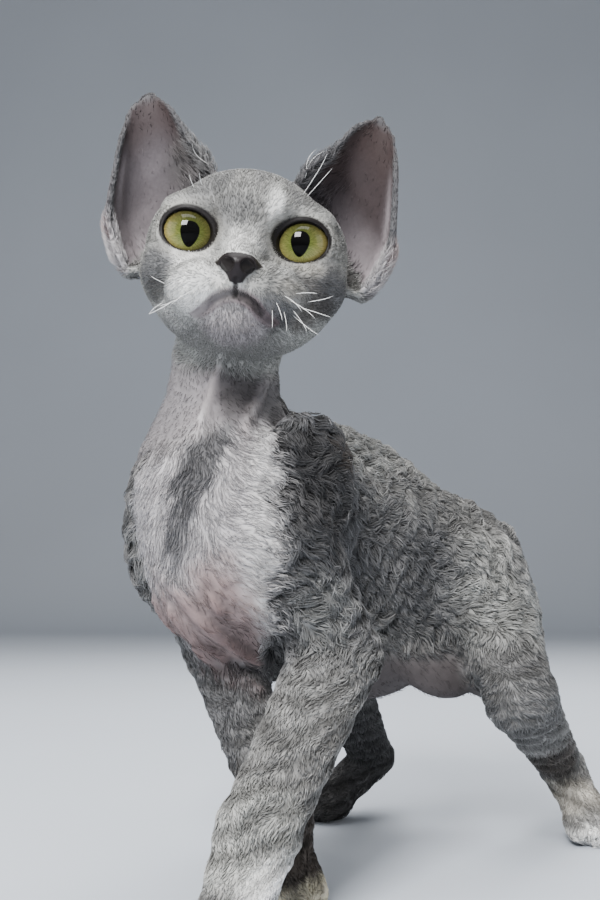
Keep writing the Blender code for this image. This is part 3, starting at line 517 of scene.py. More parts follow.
# The same on the head, in the face's axes
facePatches = [
    ("grey", (0, 0, 2), (30, 30, 30), 0.5),
    ("grey", (0, 30, 22), (30, 24, 18), 0.6), ("slate", (0, 48, 2), (34, 22, 26), 0.7),
    ("grey", (-2, -5, 9), (15, 10, 11), 0.6), ("slate", (-3, -8, 5.5), (5, 7, 6), 0.45),
    ("slate", (-13, -2, 14), (8, 8, 5), 0.55), ("slate", (3, 4, 20), (2.2, 12, 9), 0.5),
    ("slate", (-7, 3, 20), (2.2, 12, 8), 0.5), ("white", (8.6, -7, 9), (2.6, 8, 8), 0.8),
    ("grey", (17, 2, 16), (8, 9, 6), 0.6), ("slate", (12.5, 6, 20), (2, 12, 7), 0.5),
    ("brown", (10.5, -4, 2), (2.5, 6, 4), 0.45), ("brown", (-10.5, -4, 3), (2, 6, 4), 0.25),
    ("slate", (15, 1, 13), (4, 6, 3), 0.4),
    ("white", (0, -15, -6), (8, 10, 6.5), 0.65), ("white", (-17, -5, -11), (10, 9, 5), 0.75),
    ("white", (12, -9, -12), (5, 7, 3.5), 0.6),
    ("grey", (25, -1, -12), (11, 12, 9), 0.85), ("slate", (30, 4, -15), (9, 11, 8), 0.85),
    ("brown", (27, 1, -20), (7, 9, 4), 0.5),
    ("beige", (22, -5, -9), (5, 5, 3), 0.5),
    ("grey", (14, -13, -23), (11, 11, 8), 0.9), ("slate", (11, -15, -27), (8, 9, 5), 0.8),
    ("beige", (16, -13, -19), (5, 7, 3), 0.4),
    # the dark patch under the cat's left whisker pad is painted shade below the pad
    ("dark", (13, -13, -30), (6, 8, 3.5), 0.7), ("brown", (21, -3, -24), (7, 9, 5), 0.65),
    ("brown", (20, -5, -15), (7, 7, 3), 0.35),
    ("white", (-10, -16, -22), (12, 10, 8), 0.9), ("beige", (-4, -19, -20), (4, 4, 3), 0.35),
    ("slate", (-28, 0, -13), (7, 10, 7), 0.85), ("dark", (-28, 1, -20), (6, 9, 4), 0.65),
    ("white", (-18, 0, -27), (10, 10, 4), 0.45), ("grey", (-20, 6, -31), (12, 12, 5), 0.6),
    # the grey under the jaw is painted shade beneath the head
    ("grey", (0, -4, -36), (26, 20, 7), 0.8),
    ("lilac", (0, -12, -30), (11, 10, 8), 0.8), ("slate", (1, -15, -25.5), (4.5, 4, 1.8), 0.5),
    ("dark", (34, 21, -15), (5, 7, 6), 0.85),
    ("dark", (-34, 21, -14), (4.5, 6, 6), 0.8), ("dark", (17, 14, 24), (5, 6, 4), 0.7),
    ("slate", (-17, 14, 25), (6, 6, 4), 0.7), ("slate", (28, 12, 12), (6, 8, 8), 0.4),
]
# Folds of thin skin at the armpit, and the two cords of the throat: points, width, height
foldLines = [
    ([(-1, -95, 94), (-4, -88, 86), (-6, -76, 75), (4, -68, 67), (13, -58, 62)], 2.2, 2.6),
    ([(6, -95, 99), (14, -92, 92), (17, -84, 82), (14, -68, 73), (13, -56, 67)], 2.0, 2.6),
    ([(24, -90, 94), (23, -80, 81), (18, -66, 73)], 1.8, 2.4),
    ([(-7, -92, 92), (-10, -82, 80), (-6, -70, 68)], 1.8, 2.2),
    ([(1, -96, 101), (7, -93, 88), (8, -82, 77), (6, -68, 70)], 1.7, 2.2),
]
tendons = [([(13.3, -75.7, 171), (9.3, -76.2, 160), (10.8, -83.7, 143)], 1.5, 2.7),
           ([(14.2, -55.1, 168), (16.7, -63.3, 155), (19.8, -73.3, 142)], 1.4, 2.7)]


# Colour of skin and coat at each point, the tabby pattern with painted light and shade, and masks: bare skin, wet or
# leathery skin
def markingsAndPaintedShade(p, places):
    r, q = regions(p)
    head, belly = np.clip(r["head"], 0, 1), np.clip(r["belly"], 0, 1)
    edge = p + 3.0 * np.stack([noise(p, 6, s) for s in (3, 4, 5)], axis=1) + np.stack(
        [noise(p, 2.2, s) for s in (13, 14, 15)], axis=1)
    c = np.tile(shades["grey"], (len(p), 1))

    def lay(shade, mask):
        c[:] = c + (shades[shade] - c) * np.clip(mask, 0, 1)[:, None]

    for shade, centre, radii, strength in bodyPatches:
        lay(shade, bump(edge, centre, radii, 0.3) * strength)
    sock = (edge[:, 0] > 20) * (edge[:, 1] < -80)
    lay("white", r["paw"] * smooth(31, 27, edge[:, 2] - 0.6 * (edge[:, 1] + 90)) * sock)
    lay("cream", smooth(8.5, 5.5, edge[:, 2]) * smooth(30, 36, edge[:, 0]) * (edge[:, 1] > -80) * (edge[:, 1] < -50))
    lay("white", smooth(11, 8, edge[:, 2]) * bump(edge, (60, 64, 5), (13, 14, 12)))
    # throat, chest and belly: thin pale hair over lilac and pink skin
    lay("bare", belly * 0.95)
    lay("thin", r["chest"] * 0.95)
    lay("white", r["chest"] * smooth(36, 46, r["around"]) * 0.35)
    lay("lilac", r["neck"] * 0.85)
    turn = r["around"] + 4 * noise(p, 5, 16) + 2.5 * noise(p, 2, 17)
    oval = np.hypot((turn - 18 + 0.22 * (126 - p[:, 2])) / 8.5, (edge[:, 2] - 126) / 22)
    lay("slate", smooth(1.2, 0.85, oval) * (1 - head) * 0.85)
    lay("charcoal", smooth(0.8, 0.3, oval) * smooth(112, 122, p[:, 2]) * 0.35)
    # painted shade: a dark patch in the hollow under the jaw, beside the throat's cords
    neckHollowShade = smooth(9, 17, turn) * smooth(46, 36, turn) * smooth(143, 153, edge[:, 2] + 0.3 * (turn - 26))
    lay("dark", neckHollowShade * (1 - head) * 0.75)
    lay("slate", smooth(34, 46, turn) * smooth(138, 150, p[:, 2]) * r["neck"] * 0.75)
    lay("slate", smooth(6, -14, turn) * smooth(138, 150, p[:, 2]) * r["neck"] * 0.3)
    pinkish = smooth(100, 86, edge[:, 2]) * smooth(52, 40, turn) * smooth(-30, -18, turn) * r["chest"]
    pinkish = np.maximum(pinkish, smooth(1.5, 0.5, np.hypot((turn - 27) / 13, (edge[:, 2] - 90) / 13)) * r["chest"])
    lay("pink", pinkish * 0.75)
    # the folds are rose skin; the dark bands beside them are painted shade in the creases
    folds, creaseShade = np.zeros(len(p)), np.zeros(len(p))
    for points, wide, _ in foldLines:
        apart = lineDistance(p, points)
        folds = np.maximum(folds, np.exp(-(apart / wide) ** 2))
        beside = np.exp(-((apart - 1.5 * wide) / (0.45 * wide)) ** 2)
        creaseShade = np.maximum(creaseShade, beside * (1 - folds) * r["chest"])
    lay("rose", folds * 0.35)
    lay("dark", np.clip(creaseShade, 0, 1) * 0.5)
    tendon = np.zeros(len(p))
    for points, wide, _ in tendons:
        tendon = np.maximum(tendon, np.exp(-(lineDistance(p, points) / wide) ** 2))
    lay("thin", tendon * 0.8)
    lay("pink", tendon * 0.3)
    lay("silver", head)
    fine = q + 1.2 * np.stack([noise(p, 3.0, s) for s in (6, 7, 8)], axis=1)
    for shade, centre, radii, strength in facePatches:
        lay(shade, bump(fine, centre, radii, 0.4) * strength * head)
    # tabby mottling, and painted light and shade of the waves: crests lighter, troughs darker
    crest = waves(p, r)
    wavy = (1 - head) * (1 - belly) * (1 - 0.85 * r["chest"]) * (1 - 0.9 * r["neck"])
    c *= (1 + wavy * (0.75 * (crest - 0.5) + 0.25 * noise(p, 9, 9)))[:, None]
    c *= (1 + 0.14 * noise(p, 1.6, 10))[:, None]
    tabby = noise(np.stack([q[:, 0] * 2.2, q[:, 1], q[:, 2] * 0.8], axis=1), 4.5, 11)
    c *= (1 - head * 0.5 * np.maximum(tabby, 0) * smooth(-26, -16, q[:, 2]))[:, None]
    # mouth, lids and nose, with painted shade in the mouth's crease, the philtrum and the nostrils
    # the black in the mouth's crease is painted shade, fading towards the corners and stronger on the cat's left
    # under the whisker pad; the lips' mauve is their own colour
    mouth = r["mouth"] + 1.0 * smooth(6.5, 12, np.abs(q[:, 0])) * np.where(q[:, 0] < 0, 1, 0.6)
    lips = smooth(3.0, 2.1, mouth) * 0.65
    lay("lip", lips * 0.9 * head)
    lay("lidBlackAndShade", smooth(1.95, 1.4, mouth) * (0.35 + 0.45 * smooth(-4, 1, q[:, 0])) * head)
    # painted shade: a dark line down the philtrum's groove
    philtrum = smooth(1.1, 0.5, np.abs(q[:, 0])) * smooth(-18.5, -19.5, q[:, 2]) * smooth(-24, -23, q[:, 2])
    lay("lidBlackAndShade", philtrum * (q[:, 1] < -12) * 0.8)
    bare = np.clip(0.75 * belly + 0.9 * pinkish + 0.35 * r["neck"] + folds + tendon + lips, 0, 1)
    # the lids' own dark margin, drawn wider above, where it takes in painted shade under the brow
    lidsAndBrowShade = np.zeros(len(p))
    for one in (1, -1):
        far, up, out = eyeRing(q, one)
        wide = 0.5 + 1.2 * np.maximum(up, 0) ** 0.8 + 0.8 * np.maximum(-out, 0) ** 2
        lidsAndBrowShade = np.maximum(lidsAndBrowShade, smooth(1.25, 0.75, far / wide))
        lay("beige", smooth(5, 1, far) * 0.25)
    lay("lidBlackAndShade", lidsAndBrowShade)
    inside = smooth(-0.35, 0.15, noseMask(q))
    lay("leather", inside)
    # painted shade: the nostrils black inside
    lay("lidBlackAndShade", smooth(1.2, 0.5, nearest(p, [onFace(m) for m in nostrils])) * (q[:, 1] < -10))
    bare = np.maximum(bare, np.maximum(lidsAndBrowShade, inside))
    wet = np.maximum(np.maximum(lidsAndBrowShade * 0.6, inside), lips * 0.3)
    # ears: bare and lilac in the cup, browner towards the inner edge and tip, pale ridges, grey coat behind
    for one in (1, -1):
        d, place, out = places[one]
        s, t = place[:, 0], place[:, 1]
        on = onEarShell(d, place)
        cup = on * facingFront(out)
        lay("slate", on)
        lay("earDeep", cup)
        lay("earPale", cup * smooth(0.2, 0.5, s) * smooth(0.75, 0.3, t) * (0.35 if one < 0 else 0))
        lay("earPale", cup * smooth(0.45, 0.1, t) * smooth(0.4, 0.7, s) * (0.75 if one < 0 else 0.35))
        lay("earBrown", cup * smooth(0.42, 0.12, s) * smooth(0.06, 0.22, t) * 0.8)
        lay("earBrown", cup * smooth(0.45, 0.75, t) * (0.7 if one < 0 else 0.95))
        if one == 1:
            lay("earBrown", cup * smooth(0.9, 0.6, s) * smooth(0.15, 0.4, t) * 0.75)
        lay("earPale", cup * np.exp(-((s - 0.72 - 0.10 * t) / 0.04) ** 2) * smooth(0.75, 0.4, t) * 0.6)
        lay("earBrown", cup * (0.5 + 0.5 * noise(p, 5, 51)) * 0.25)
        margin = smooth(0.10, 0.03, s) + smooth(0.90, 0.96, s) + smooth(0.86, 0.96, t)
        lay("slate", on * np.clip(margin, 0, 1) * 0.75)
        lay("thin", on * smooth(0.74, 0.9, s) * smooth(0.34, 0.2, t) * 0.85)
        lay("pink", cup * bump(np.stack([s, t, 0 * s], axis=1), (0.88, 0.24, 0), (0.08, 0.09, 1), 0.5) * 0.8)
        if one < 0:
            lay("grey", on * smooth(0.45, 0.2, s) * smooth(0.6, 0.3, t) * 0.35)
        bare = np.maximum(bare * (1 - on), cup * (1 - 0.75 * np.clip(margin, 0, 1)))
    return np.clip(c, 0.003, 0.95), bare, wet, r


# How deep the coat lies over the skin at each point
def coatDepth(p):
    r, q = regions(p)
    depth = np.full(len(p), 2.3)
    depth -= 1.2 * r["limb"] + 0.3 * r["paw"] + 1.2 * r["tail"]
    depth -= 1.5 * r["neck"] + 1.3 * r["chest"] * (1 - r["limb"]) + 1.4 * r["belly"]
    depth = np.clip(depth, 0.75, 2.3)
    nearEye = np.maximum(*[smooth(6, 2, eyeRing(q, side)[0]) for side in (1, -1)])
    faceDepth = (0.5 + 0.5 * smooth(5, 30, q[:, 1])) * (1 - 0.75 * nearEye)
    return depth * (1 - r["head"]) + faceDepth * r["head"], r


print("tables ready")


# One skin: the flesh solids joined and remeshed, then brought onto the masses' surface less the coat
skinSizes = {"voxel": 1.9, "grow": 0.3, "earGrow": 0.6, "headReach": 62.0, "earBlend": 3.5, "slopeStep": 0.06,
             "longestStep": 1.6, "floorGap": 0.25}
fleshNodes = [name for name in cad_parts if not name.startswith("eye_")]


def deselectAll():
    bpy.ops.object.select_all(action="DESELECT")


def selectOnly(obj):
    deselectAll()
    obj.select_set(True)
    bpy.context.view_layer.objects.active = obj


def applyModifier(obj, kind, **settings):
    selectOnly(obj)
    made = obj.modifiers.new(kind, kind)
    for key, value in settings.items():
        setattr(made, key, value)
    bpy.ops.object.modifier_apply(modifier=made.name)


def readAll(items, name, width, kind=np.float32):
    values = np.empty(len(items) * width, kind)
    items.foreach_get(name, values)
    return values.reshape(-1, width)


def pointsOf(obj):
    return readAll(obj.data.vertices, "co", 3).astype(float)


def setPoints(obj, p):
    obj.data.vertices.foreach_set("co", np.ascontiguousarray(p, np.float32).ravel())
    obj.data.update()


def inEditMode(obj, work, mode="VERT"):
    selectOnly(obj)
    bpy.ops.object.mode_set(mode="EDIT")
    bpy.ops.mesh.select_mode(type=mode)
    bpy.ops.mesh.select_all(action="SELECT")
    work()
    bpy.ops.object.mode_set(mode="OBJECT")


# Subdivides the faces whose middle is chosen, as by hand in edit mode
def subdivideWhere(obj, chosen):
    selectOnly(obj)
    picked = chosen(fromScene(readAll(obj.data.polygons, "center", 3)))
    obj.data.vertices.foreach_set("select", np.zeros(len(obj.data.vertices), bool))
    obj.data.edges.foreach_set("select", np.zeros(len(obj.data.edges), bool))
    obj.data.polygons.foreach_set("select", picked)
    bpy.ops.object.mode_set(mode="EDIT")
    bpy.ops.mesh.select_mode(type="FACE")
    bpy.ops.mesh.subdivide(number_cuts=1)
    bpy.ops.object.mode_set(mode="OBJECT")


def joinedCopies(names, label):
    deselectAll()
    copies = []
    for name in names:
        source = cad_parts[name]
        made = bpy.data.objects.new(label, source.data.copy())
        bpy.context.scene.collection.objects.link(made)
        grow = skinSizes["earGrow" if name.startswith("ear_") else "grow"] / 1000  # closes the thin cuts
        inEditMode(made, lambda: (bpy.ops.mesh.remove_doubles(threshold=1e-6),
                                  bpy.ops.transform.shrink_fatten(value=grow)))
        copies.append(made)
    deselectAll()
    for made in copies:
        made.select_set(True)
    bpy.context.view_layer.objects.active = copies[0]
    bpy.ops.object.join()
    return bpy.context.view_layer.objects.active


def neighbours(obj):
    a, b = readAll(obj.data.edges, "vertices", 2, np.int32).T
    return a, b, np.bincount(np.concatenate([a, b]), minlength=len(obj.data.vertices))[:, None]


def relaxed(p, links, amount):
    a, b, count = links
    total = np.stack([np.bincount(a, p[b, i], len(p)) + np.bincount(b, p[a, i], len(p)) for i in range(3)], axis=1)
    return p + amount * (total / np.maximum(count, 1) - p)


# Moves the points onto the flesh's surface less the coat, joined with the ears' thin shells
def settle(obj, rounds, relax):
    p = fromScene(pointsOf(obj))
    links = neighbours(obj)
    step, blend = skinSizes["slopeStep"], skinSizes["earBlend"]
    for _ in range(rounds):
        p = relaxed(p, links, relax)
        depth, r = coatDepth(p)
        extra = np.zeros(len(p))
        for points, wide, tall in foldLines:
            apart = lineDistance(p, points) / wide
            extra += tall * (np.exp(-apart ** 2) - 0.3 * np.exp(-(apart / 2.5) ** 2))
        for points, wide, tall in tendons:
            extra += tall * np.exp(-(lineDistance(p, points) / wide) ** 2)
        hairy = (1 - r["head"]) * (1 - r["neck"]) * (1 - r["chest"]) * (1 - r["belly"]) * (1 - 0.7 * r["tail"])
        extra += hairy * 1.1 * (waves(p, r) - 0.5) * (1 - 0.5 * r["limb"])
        f = fleshField(p) + depth - extra
        slope = np.stack([(fleshField(p + step * axis) + depth - extra - f) / step for axis in np.eye(3)], axis=1)
        for side in (1, -1):
            d, place, out = earDistance(p, side)
            shell = d - ear["thick"] / 2 * (1.3 - 0.5 * smooth(0.2, 1.0, place[:, 1]))
            share = np.clip(0.5 + 0.5 * (shell - f) / blend, 0, 1)[:, None]
            near = d < 9.5
            slope = np.where(near[:, None], slope * share + out * (1 - share), slope)
            f = np.where(near, join(f, shell, blend), f)
        move = (f / ((slope ** 2).sum(axis=1) + 1e-3))[:, None] * slope
        length = np.linalg.norm(move, axis=1)[:, None]
        p = p - move * np.minimum(1.0, skinSizes["longestStep"] / (length + 1e-9))
    p[:, 2] = np.maximum(p[:, 2], skinSizes["floorGap"])
    setPoints(obj, toScene(p))


def makeSkin():
    skin = joinedCopies(fleshNodes, "skin")
    skin.name = "skin"
    applyModifier(skin, "REMESH", mode="VOXEL", voxel_size=skinSizes["voxel"] / 1000)
    print("skin remeshed:", len(skin.data.polygons))
    settle(skin, 3, 0.5)

    def onHead(c):
        q = toFace(c)
        return (q[:, 1] < 30) & (q[:, 2] > -40) & (np.linalg.norm(q, axis=1) < skinSizes["headReach"])

    def onFront(c):
        q = toFace(c)
        return (q[:, 1] < -1) & (q[:, 2] > -33) & (np.abs(q[:, 2] + 11) < 22)

    subdivideWhere(skin, onHead)
    settle(skin, 2, 0.5)
    subdivideWhere(skin, onFront)
    settle(skin, 4, 0.3)
    inEditMode(skin, lambda: bpy.ops.mesh.quads_convert_to_tris())
    skin.data.polygons.foreach_set("use_smooth", np.ones(len(skin.data.polygons), bool))
    print("skin settled:", len(skin.data.polygons), "triangles")
    return skin


skin = makeSkin()
skinPoints = fromScene(pointsOf(skin))
skinNormals = readAll(skin.data.vertices, "normal", 3).astype(float)
earPlace = {side: earDistance(skinPoints, side) for side in (1, -1)}
skinColour, skinBare, skinWet, skinRegions = markingsAndPaintedShade(skinPoints, earPlace)
print("markings laid")


def addAttribute(mesh, name, kind, values):
    made = mesh.attributes.new(name, kind, "POINT")
    values = np.asarray(values, np.float32)
    made.data.foreach_set("color" if kind == "FLOAT_COLOR" else "vector" if kind == "FLOAT_VECTOR" else "value",
                          np.ascontiguousarray(values).ravel())


def withAlpha(colour):
    return np.concatenate([colour, np.ones((len(colour), 1))], axis=1)


addAttribute(skin.data, "markingsAndPaintedShade", "FLOAT_COLOR", withAlpha(skinColour))
addAttribute(skin.data, "bare", "FLOAT", skinBare)
addAttribute(skin.data, "wet", "FLOAT", skinWet)
while skin.data.uv_layers:
    skin.data.uv_layers.remove(skin.data.uv_layers[0])
skin.data.uv_layers.new(name="OFBake")
inEditMode(skin, lambda: bpy.ops.uv.smart_project(angle_limit=math.radians(66), island_margin=0.002), "FACE")
skinUv = readAll(skin.data.uv_layers["OFBake"].data, "uv", 2).reshape(-1, 3, 2).astype(float)
skinFaces = readAll(skin.data.loops, "vertex_index", 1, np.int32).reshape(-1, 3)
print("skin unwrapped")

# How the hair lies: places on the kitten and the direction the hair grows there
hairLie = [
    ((0, -60, 160), (0.0, 0.45, -0.9)), ((0, -30, 150), (0, 1, -0.1)), ((0, 10, 146), (0, 1, -0.1)),
    ((4, 45, 132), (0, 0.95, -0.3)), ((4, 78, 112), (0, 0.8, -0.5)),
    ((38, -68, 118), (0.45, 0.8, -0.2)), ((42, -50, 120), (0.25, 0.85, -0.4)), ((36, -38, 136), (0.3, 0.85, -0.5)),
    ((44, -60, 92), (0.4, 0.65, -0.65)), ((34, -30, 104), (0.1, 0.8, -0.6)), ((30, 4, 104), (0.1, 0.85, -0.45)),
    ((28, 8, 80), (0.05, 0.75, -0.65)), ((38, 32, 98), (0.1, 0.7, -0.7)), ((46, 34, 74), (0.2, 0.45, -0.85)),
    ((32, 60, 100), (0, 0.6, -0.8)), ((-34, -60, 118), (-0.3, 0.85, -0.4)), ((-34, -30, 104), (-0.1, 0.8, -0.6)),
    ((-33, 4, 104), (-0.1, 0.85, -0.45)), ((-30, 8, 80), (-0.05, 0.75, -0.65)), ((-36, 32, 98), (-0.1, 0.6, -0.8)),
    ((-34, 50, 100), (0, 0.6, -0.8)), ((20, -93, 125), (0.0, -0.1, -1)), ((19, -94, 112), (0.05, 0, -1)),
    ((33, -84, 116), (0.72, 0.6, -0.18)), ((34, -82, 100), (0.6, 0.6, -0.5)), ((2, -97, 120), (-0.55, 0.1, -0.85)),
    ((-4, -96, 104), (-0.35, 0.2, -0.9)), ((20, -88, 92), (0.35, 0.5, -0.8)), ((5, -92, 92), (0.2, 0.5, -0.85)),
    ((8, -84, 150), (0.05, -0.15, -1)), ((20, -66, 152), (0.3, 0.3, -0.9)), ((-20, -70, 150), (-0.2, 0.3, -0.9)),
    ((12, -74, 168), (0.1, 0, -1)), ((0, 10, 52), (0, 1, 0)), ((0, -40, 62), (0, 1, 0)),
    ((0, 70, 80), (0, 0.5, -0.8)),
]
limbLie = [(np.array(a, float) * (1 - t) + np.array(b, float) * t, unit(np.array(b, float) - np.array(a, float)))
           for name, first in (("leftFore", 1), ("rightFore", 1), ("leftHind", 1), ("rightHind", 1), ("tail", 0))
           for a, b in zip(skeleton[name][first:], skeleton[name][first + 1:])
           for t in (0.1, 0.35, 0.6, 0.85)]
noseTip = fromFace((0, -24, -15))


# The direction in which the hair grows at each point, along the skin
def growth(p, normal, r, places):
    total = np.zeros((len(p), 3))
    for centre, way in [(np.array(c, float), unit(d)) for c, d in hairLie] + limbLie:
        weight = 1 / (((p - centre) ** 2).sum(axis=1) + 30) ** 2.2
        total += weight[:, None] * way
    total /= np.linalg.norm(total, axis=1)[:, None] + 1e-12
    away = p - noseTip
    q = toFace(p)
    away += (smooth(-22, -8, q[:, 2]) * 14)[:, None] * face[2] + 8 * face[1]
    away /= np.linalg.norm(away, axis=1)[:, None] + 1e-9
    total += (away - total) * r["head"][:, None]
    for side in (1, -1):
        d, place, _ = places[side]
        on = onEarShell(d, place)
        tip = fromFace(np.array(ear["inner"][-1]) * (side, 1, 1)) - p
        tip /= np.linalg.norm(tip, axis=1)[:, None] + 1e-9
        rim = face[0] * side * np.where(place[:, 0] < 0.5, -0.2, 0.5)[:, None]
        total += (tip + rim - total) * on[:, None]
    total -= (total * normal).sum(axis=1)[:, None] * normal
    return total / (np.linalg.norm(total, axis=1)[:, None] + 1e-9)


# The coat as a whole: tufts that gather into curls about clumpSpace mm apart, and how many go in one piece
coat = {"seed": 7, "amount": 1.0, "clump": 0.62, "clumpSpace": 3.3, "curl": 0.85, "curlsInPiece": 11500,
        "tuftsInPiece": 19000, "bakePatch": 0.0015}


# Where the ear's edges meet the head, inside and out: the hair there is long and soft
def earFoot(place):
    s, t = place[:, 0], place[:, 1]
    return np.maximum(smooth(0.42, 0.2, s) * smooth(0.55, 0.3, t), smooth(0.70, 0.88, s) * smooth(0.36, 0.2, t))


# Tufts per square mm, their length and width at each point
def coatPlan(p, r, bare, places):
    q = toFace(p)
    dense = np.full(len(p), 0.98)
    long = np.full(len(p), 6.2)
    wide = np.full(len(p), 0.50)

    def blend(mask, density, length, width):
        for table, value in ((dense, density), (long, length), (wide, width)):
            table[:] = table + (value - table) * np.clip(mask, 0, 1)

    blend(r["limb"], 1.5, 4.0, 0.42)
    blend(r["tail"], 1.3, 4.2, 0.42)
    blend(r["paw"] * r["limb"], 1.8, 2.3, 0.32)
    blend(r["neck"], 0.75, 2.2, 0.2)
    blend(r["chest"], 1.25, 4.6, 0.28)
    blend(r["belly"], 0.45, 2.6, 0.22)
    blend(r["head"], 2.2, 2.3, 0.26)
    blend(r["head"] * smooth(16, 34, q[:, 1]), 1.3, 3.2, 0.40)
    blend(r["head"] * smooth(14, 4, np.linalg.norm(q - (0, -22, -17), axis=1)), 3.4, 1.25, 0.2)
    for side in (1, -1):
        far, _, _ = eyeRing(q, side)
        blend(smooth(5, 1.5, far) * r["head"], 2.8, 1.3, 0.2)
    for side in (1, -1):
        d, place, out = places[side]
        s, t = place[:, 0], place[:, 1]
        on, cup = onEarShell(d, place), facingFront(out)
        margin = smooth(0.36, 0.08, s) + smooth(0.80, 0.95, s) + smooth(0.55, 0.9, t) + smooth(0.16, 0.05, t)
        margin = np.clip(margin, 0, 1)
        blend(on * (1 - cup), 1.8, 2.0, 0.26)
        blend(on * cup, 0.35, 3.0, 0.12)
        blend(on * cup * margin, 1.9, 3.0, 0.2)
        blend(on * earFoot(place), 2.0, 5.2, 0.24)
    blend(smooth(4.5, 2.0, r["mouth"]) * r["head"], 3.2, 0.8, 0.17)
    dense *= smooth(0.3, -0.3, noseMask(q)) * smooth(1.2, 1.8, r["mouth"])
    return dense * (1 - 0.85 * bare * (r["head"] < 0.5)), long, wide


skinTree = BVHTree.FromPolygons([tuple(v) for v in skinPoints], skinFaces.tolist())


# Places on the skin's triangles, as many as the coat's plan asks: face and shares of its corners
def scatter():
    rng = np.random.default_rng(coat["seed"])
    dense, long, wide = coatPlan(skinPoints, skinRegions, skinBare, earPlace)
    a, b, c = (skinPoints[skinFaces[:, k]] for k in range(3))
    area = np.linalg.norm(np.cross(b - a, c - a), axis=1) / 2
    lidded = skinWet[skinFaces].mean(axis=1)
    want = coat["amount"] * dense[skinFaces].mean(axis=1) * area * (1 - 0.9 * smooth(0.25, 0.55, lidded))
    count = np.floor(want + rng.random(len(want))).astype(int)
    chosen = np.repeat(np.arange(len(want)), count)
    u, v = rng.random(len(chosen)), rng.random(len(chosen))
    over = u + v > 1
    u[over], v[over] = 1 - u[over], 1 - v[over]
    shares = np.stack([1 - u - v, u, v], axis=1)
    return rng, chosen, shares, long, wide


def blendAt(values, chosen, shares):
    corners = values[skinFaces[chosen]]
    return np.einsum("ij,ij...->i...", shares, corners)


# One mesh from arrays: four- and three-cornered faces, a colour for each point, a UV for each corner
def meshFromArrays(name, points, quads, tris, colour, uv):
    mesh = bpy.data.meshes.new(name)
    mesh.vertices.add(len(points))
    mesh.vertices.foreach_set("co", np.ascontiguousarray(toScene(points), np.float32).ravel())
    loops = np.concatenate([quads.ravel(), tris.ravel()]).astype(np.int32)
    starts = np.concatenate([np.arange(len(quads)) * 4, len(quads) * 4 + np.arange(len(tris)) * 3]).astype(np.int32)
    mesh.loops.add(len(loops))
    mesh.loops.foreach_set("vertex_index", loops)
    mesh.polygons.add(len(starts))
    mesh.polygons.foreach_set("loop_start", starts)
    mesh.update(calc_edges=True)
    mesh.validate()
    mesh.polygons.foreach_set("use_smooth", np.ones(len(starts), bool))
    addAttribute(mesh, "markingsAndPaintedShade", "FLOAT_COLOR", withAlpha(colour))
    layer = mesh.uv_layers.new(name="OFBake")
    layer.data.foreach_set("uv", np.ascontiguousarray(uv[loops], np.float32).ravel())
    made = bpy.data.objects.new(name, mesh)
    bpy.context.scene.collection.objects.link(made)
    return made


# Solid tapered strands: path is (strands, rings, 3), the last ring a single point
def strands(name, path, up, wide, colour, uv, flat=0.5):
    n, rings, _ = path.shape
    ahead = np.gradient(path, axis=1)
    side = np.cross(up, ahead)
    side /= np.linalg.norm(side, axis=2)[:, :, None] + 1e-9
    rise = np.cross(ahead, side)
    rise /= np.linalg.norm(rise, axis=2)[:, :, None] + 1e-9
    taper = np.interp(np.linspace(0, 1, rings), [0, 0.35, 0.75, 1], [0.75, 1.0, 0.68, 0])[None, :, None]
    half = wide[:, None, None] / 2 * taper
    corners = [path - side * half - rise * half * 0.2, path + side * half - rise * half * 0.2,
               path + rise * half * flat * 2]
    body = np.stack([c[:, :-1] for c in corners], axis=2)
    points = np.concatenate([body.reshape(n, -1, 3), path[:, -1:]], axis=1)
    per = points.shape[1]
    ringColour = np.repeat(colour[:, :-1], 3, axis=1)
    colours = np.concatenate([ringColour, colour[:, -1:]], axis=1).reshape(-1, 3)
    u = np.tile(np.array([-1.0, 1.0, 0.0]), rings - 1)
    v = np.repeat(np.linspace(-1, 1, rings)[:-1], 3)
    patch = np.concatenate([np.stack([u, v], axis=1), [[0, 1]]]) * coat["bakePatch"]
    uvs = (uv[:, None] + patch[None]).reshape(-1, 2)
    quads, tris = [], [(2, 1, 0)]
    for k in range(rings - 2):
        for j in range(3):
            quads.append((k * 3 + j, k * 3 + (j + 1) % 3, k * 3 + 3 + (j + 1) % 3, k * 3 + 3 + j))
    last = (rings - 2) * 3
    for j in range(3):
        tris.append((last + j, last + (j + 1) % 3, per - 1))
    offset = (np.arange(n) * per)[:, None, None]
    quads = (np.array(quads)[None] + offset).reshape(-1, 4) if quads else np.empty((0, 4), int)
    tris = (np.array(tris)[None] + offset).reshape(-1, 3)
    return meshFromArrays(name, points.reshape(-1, 3), quads, tris, colours, uvs)


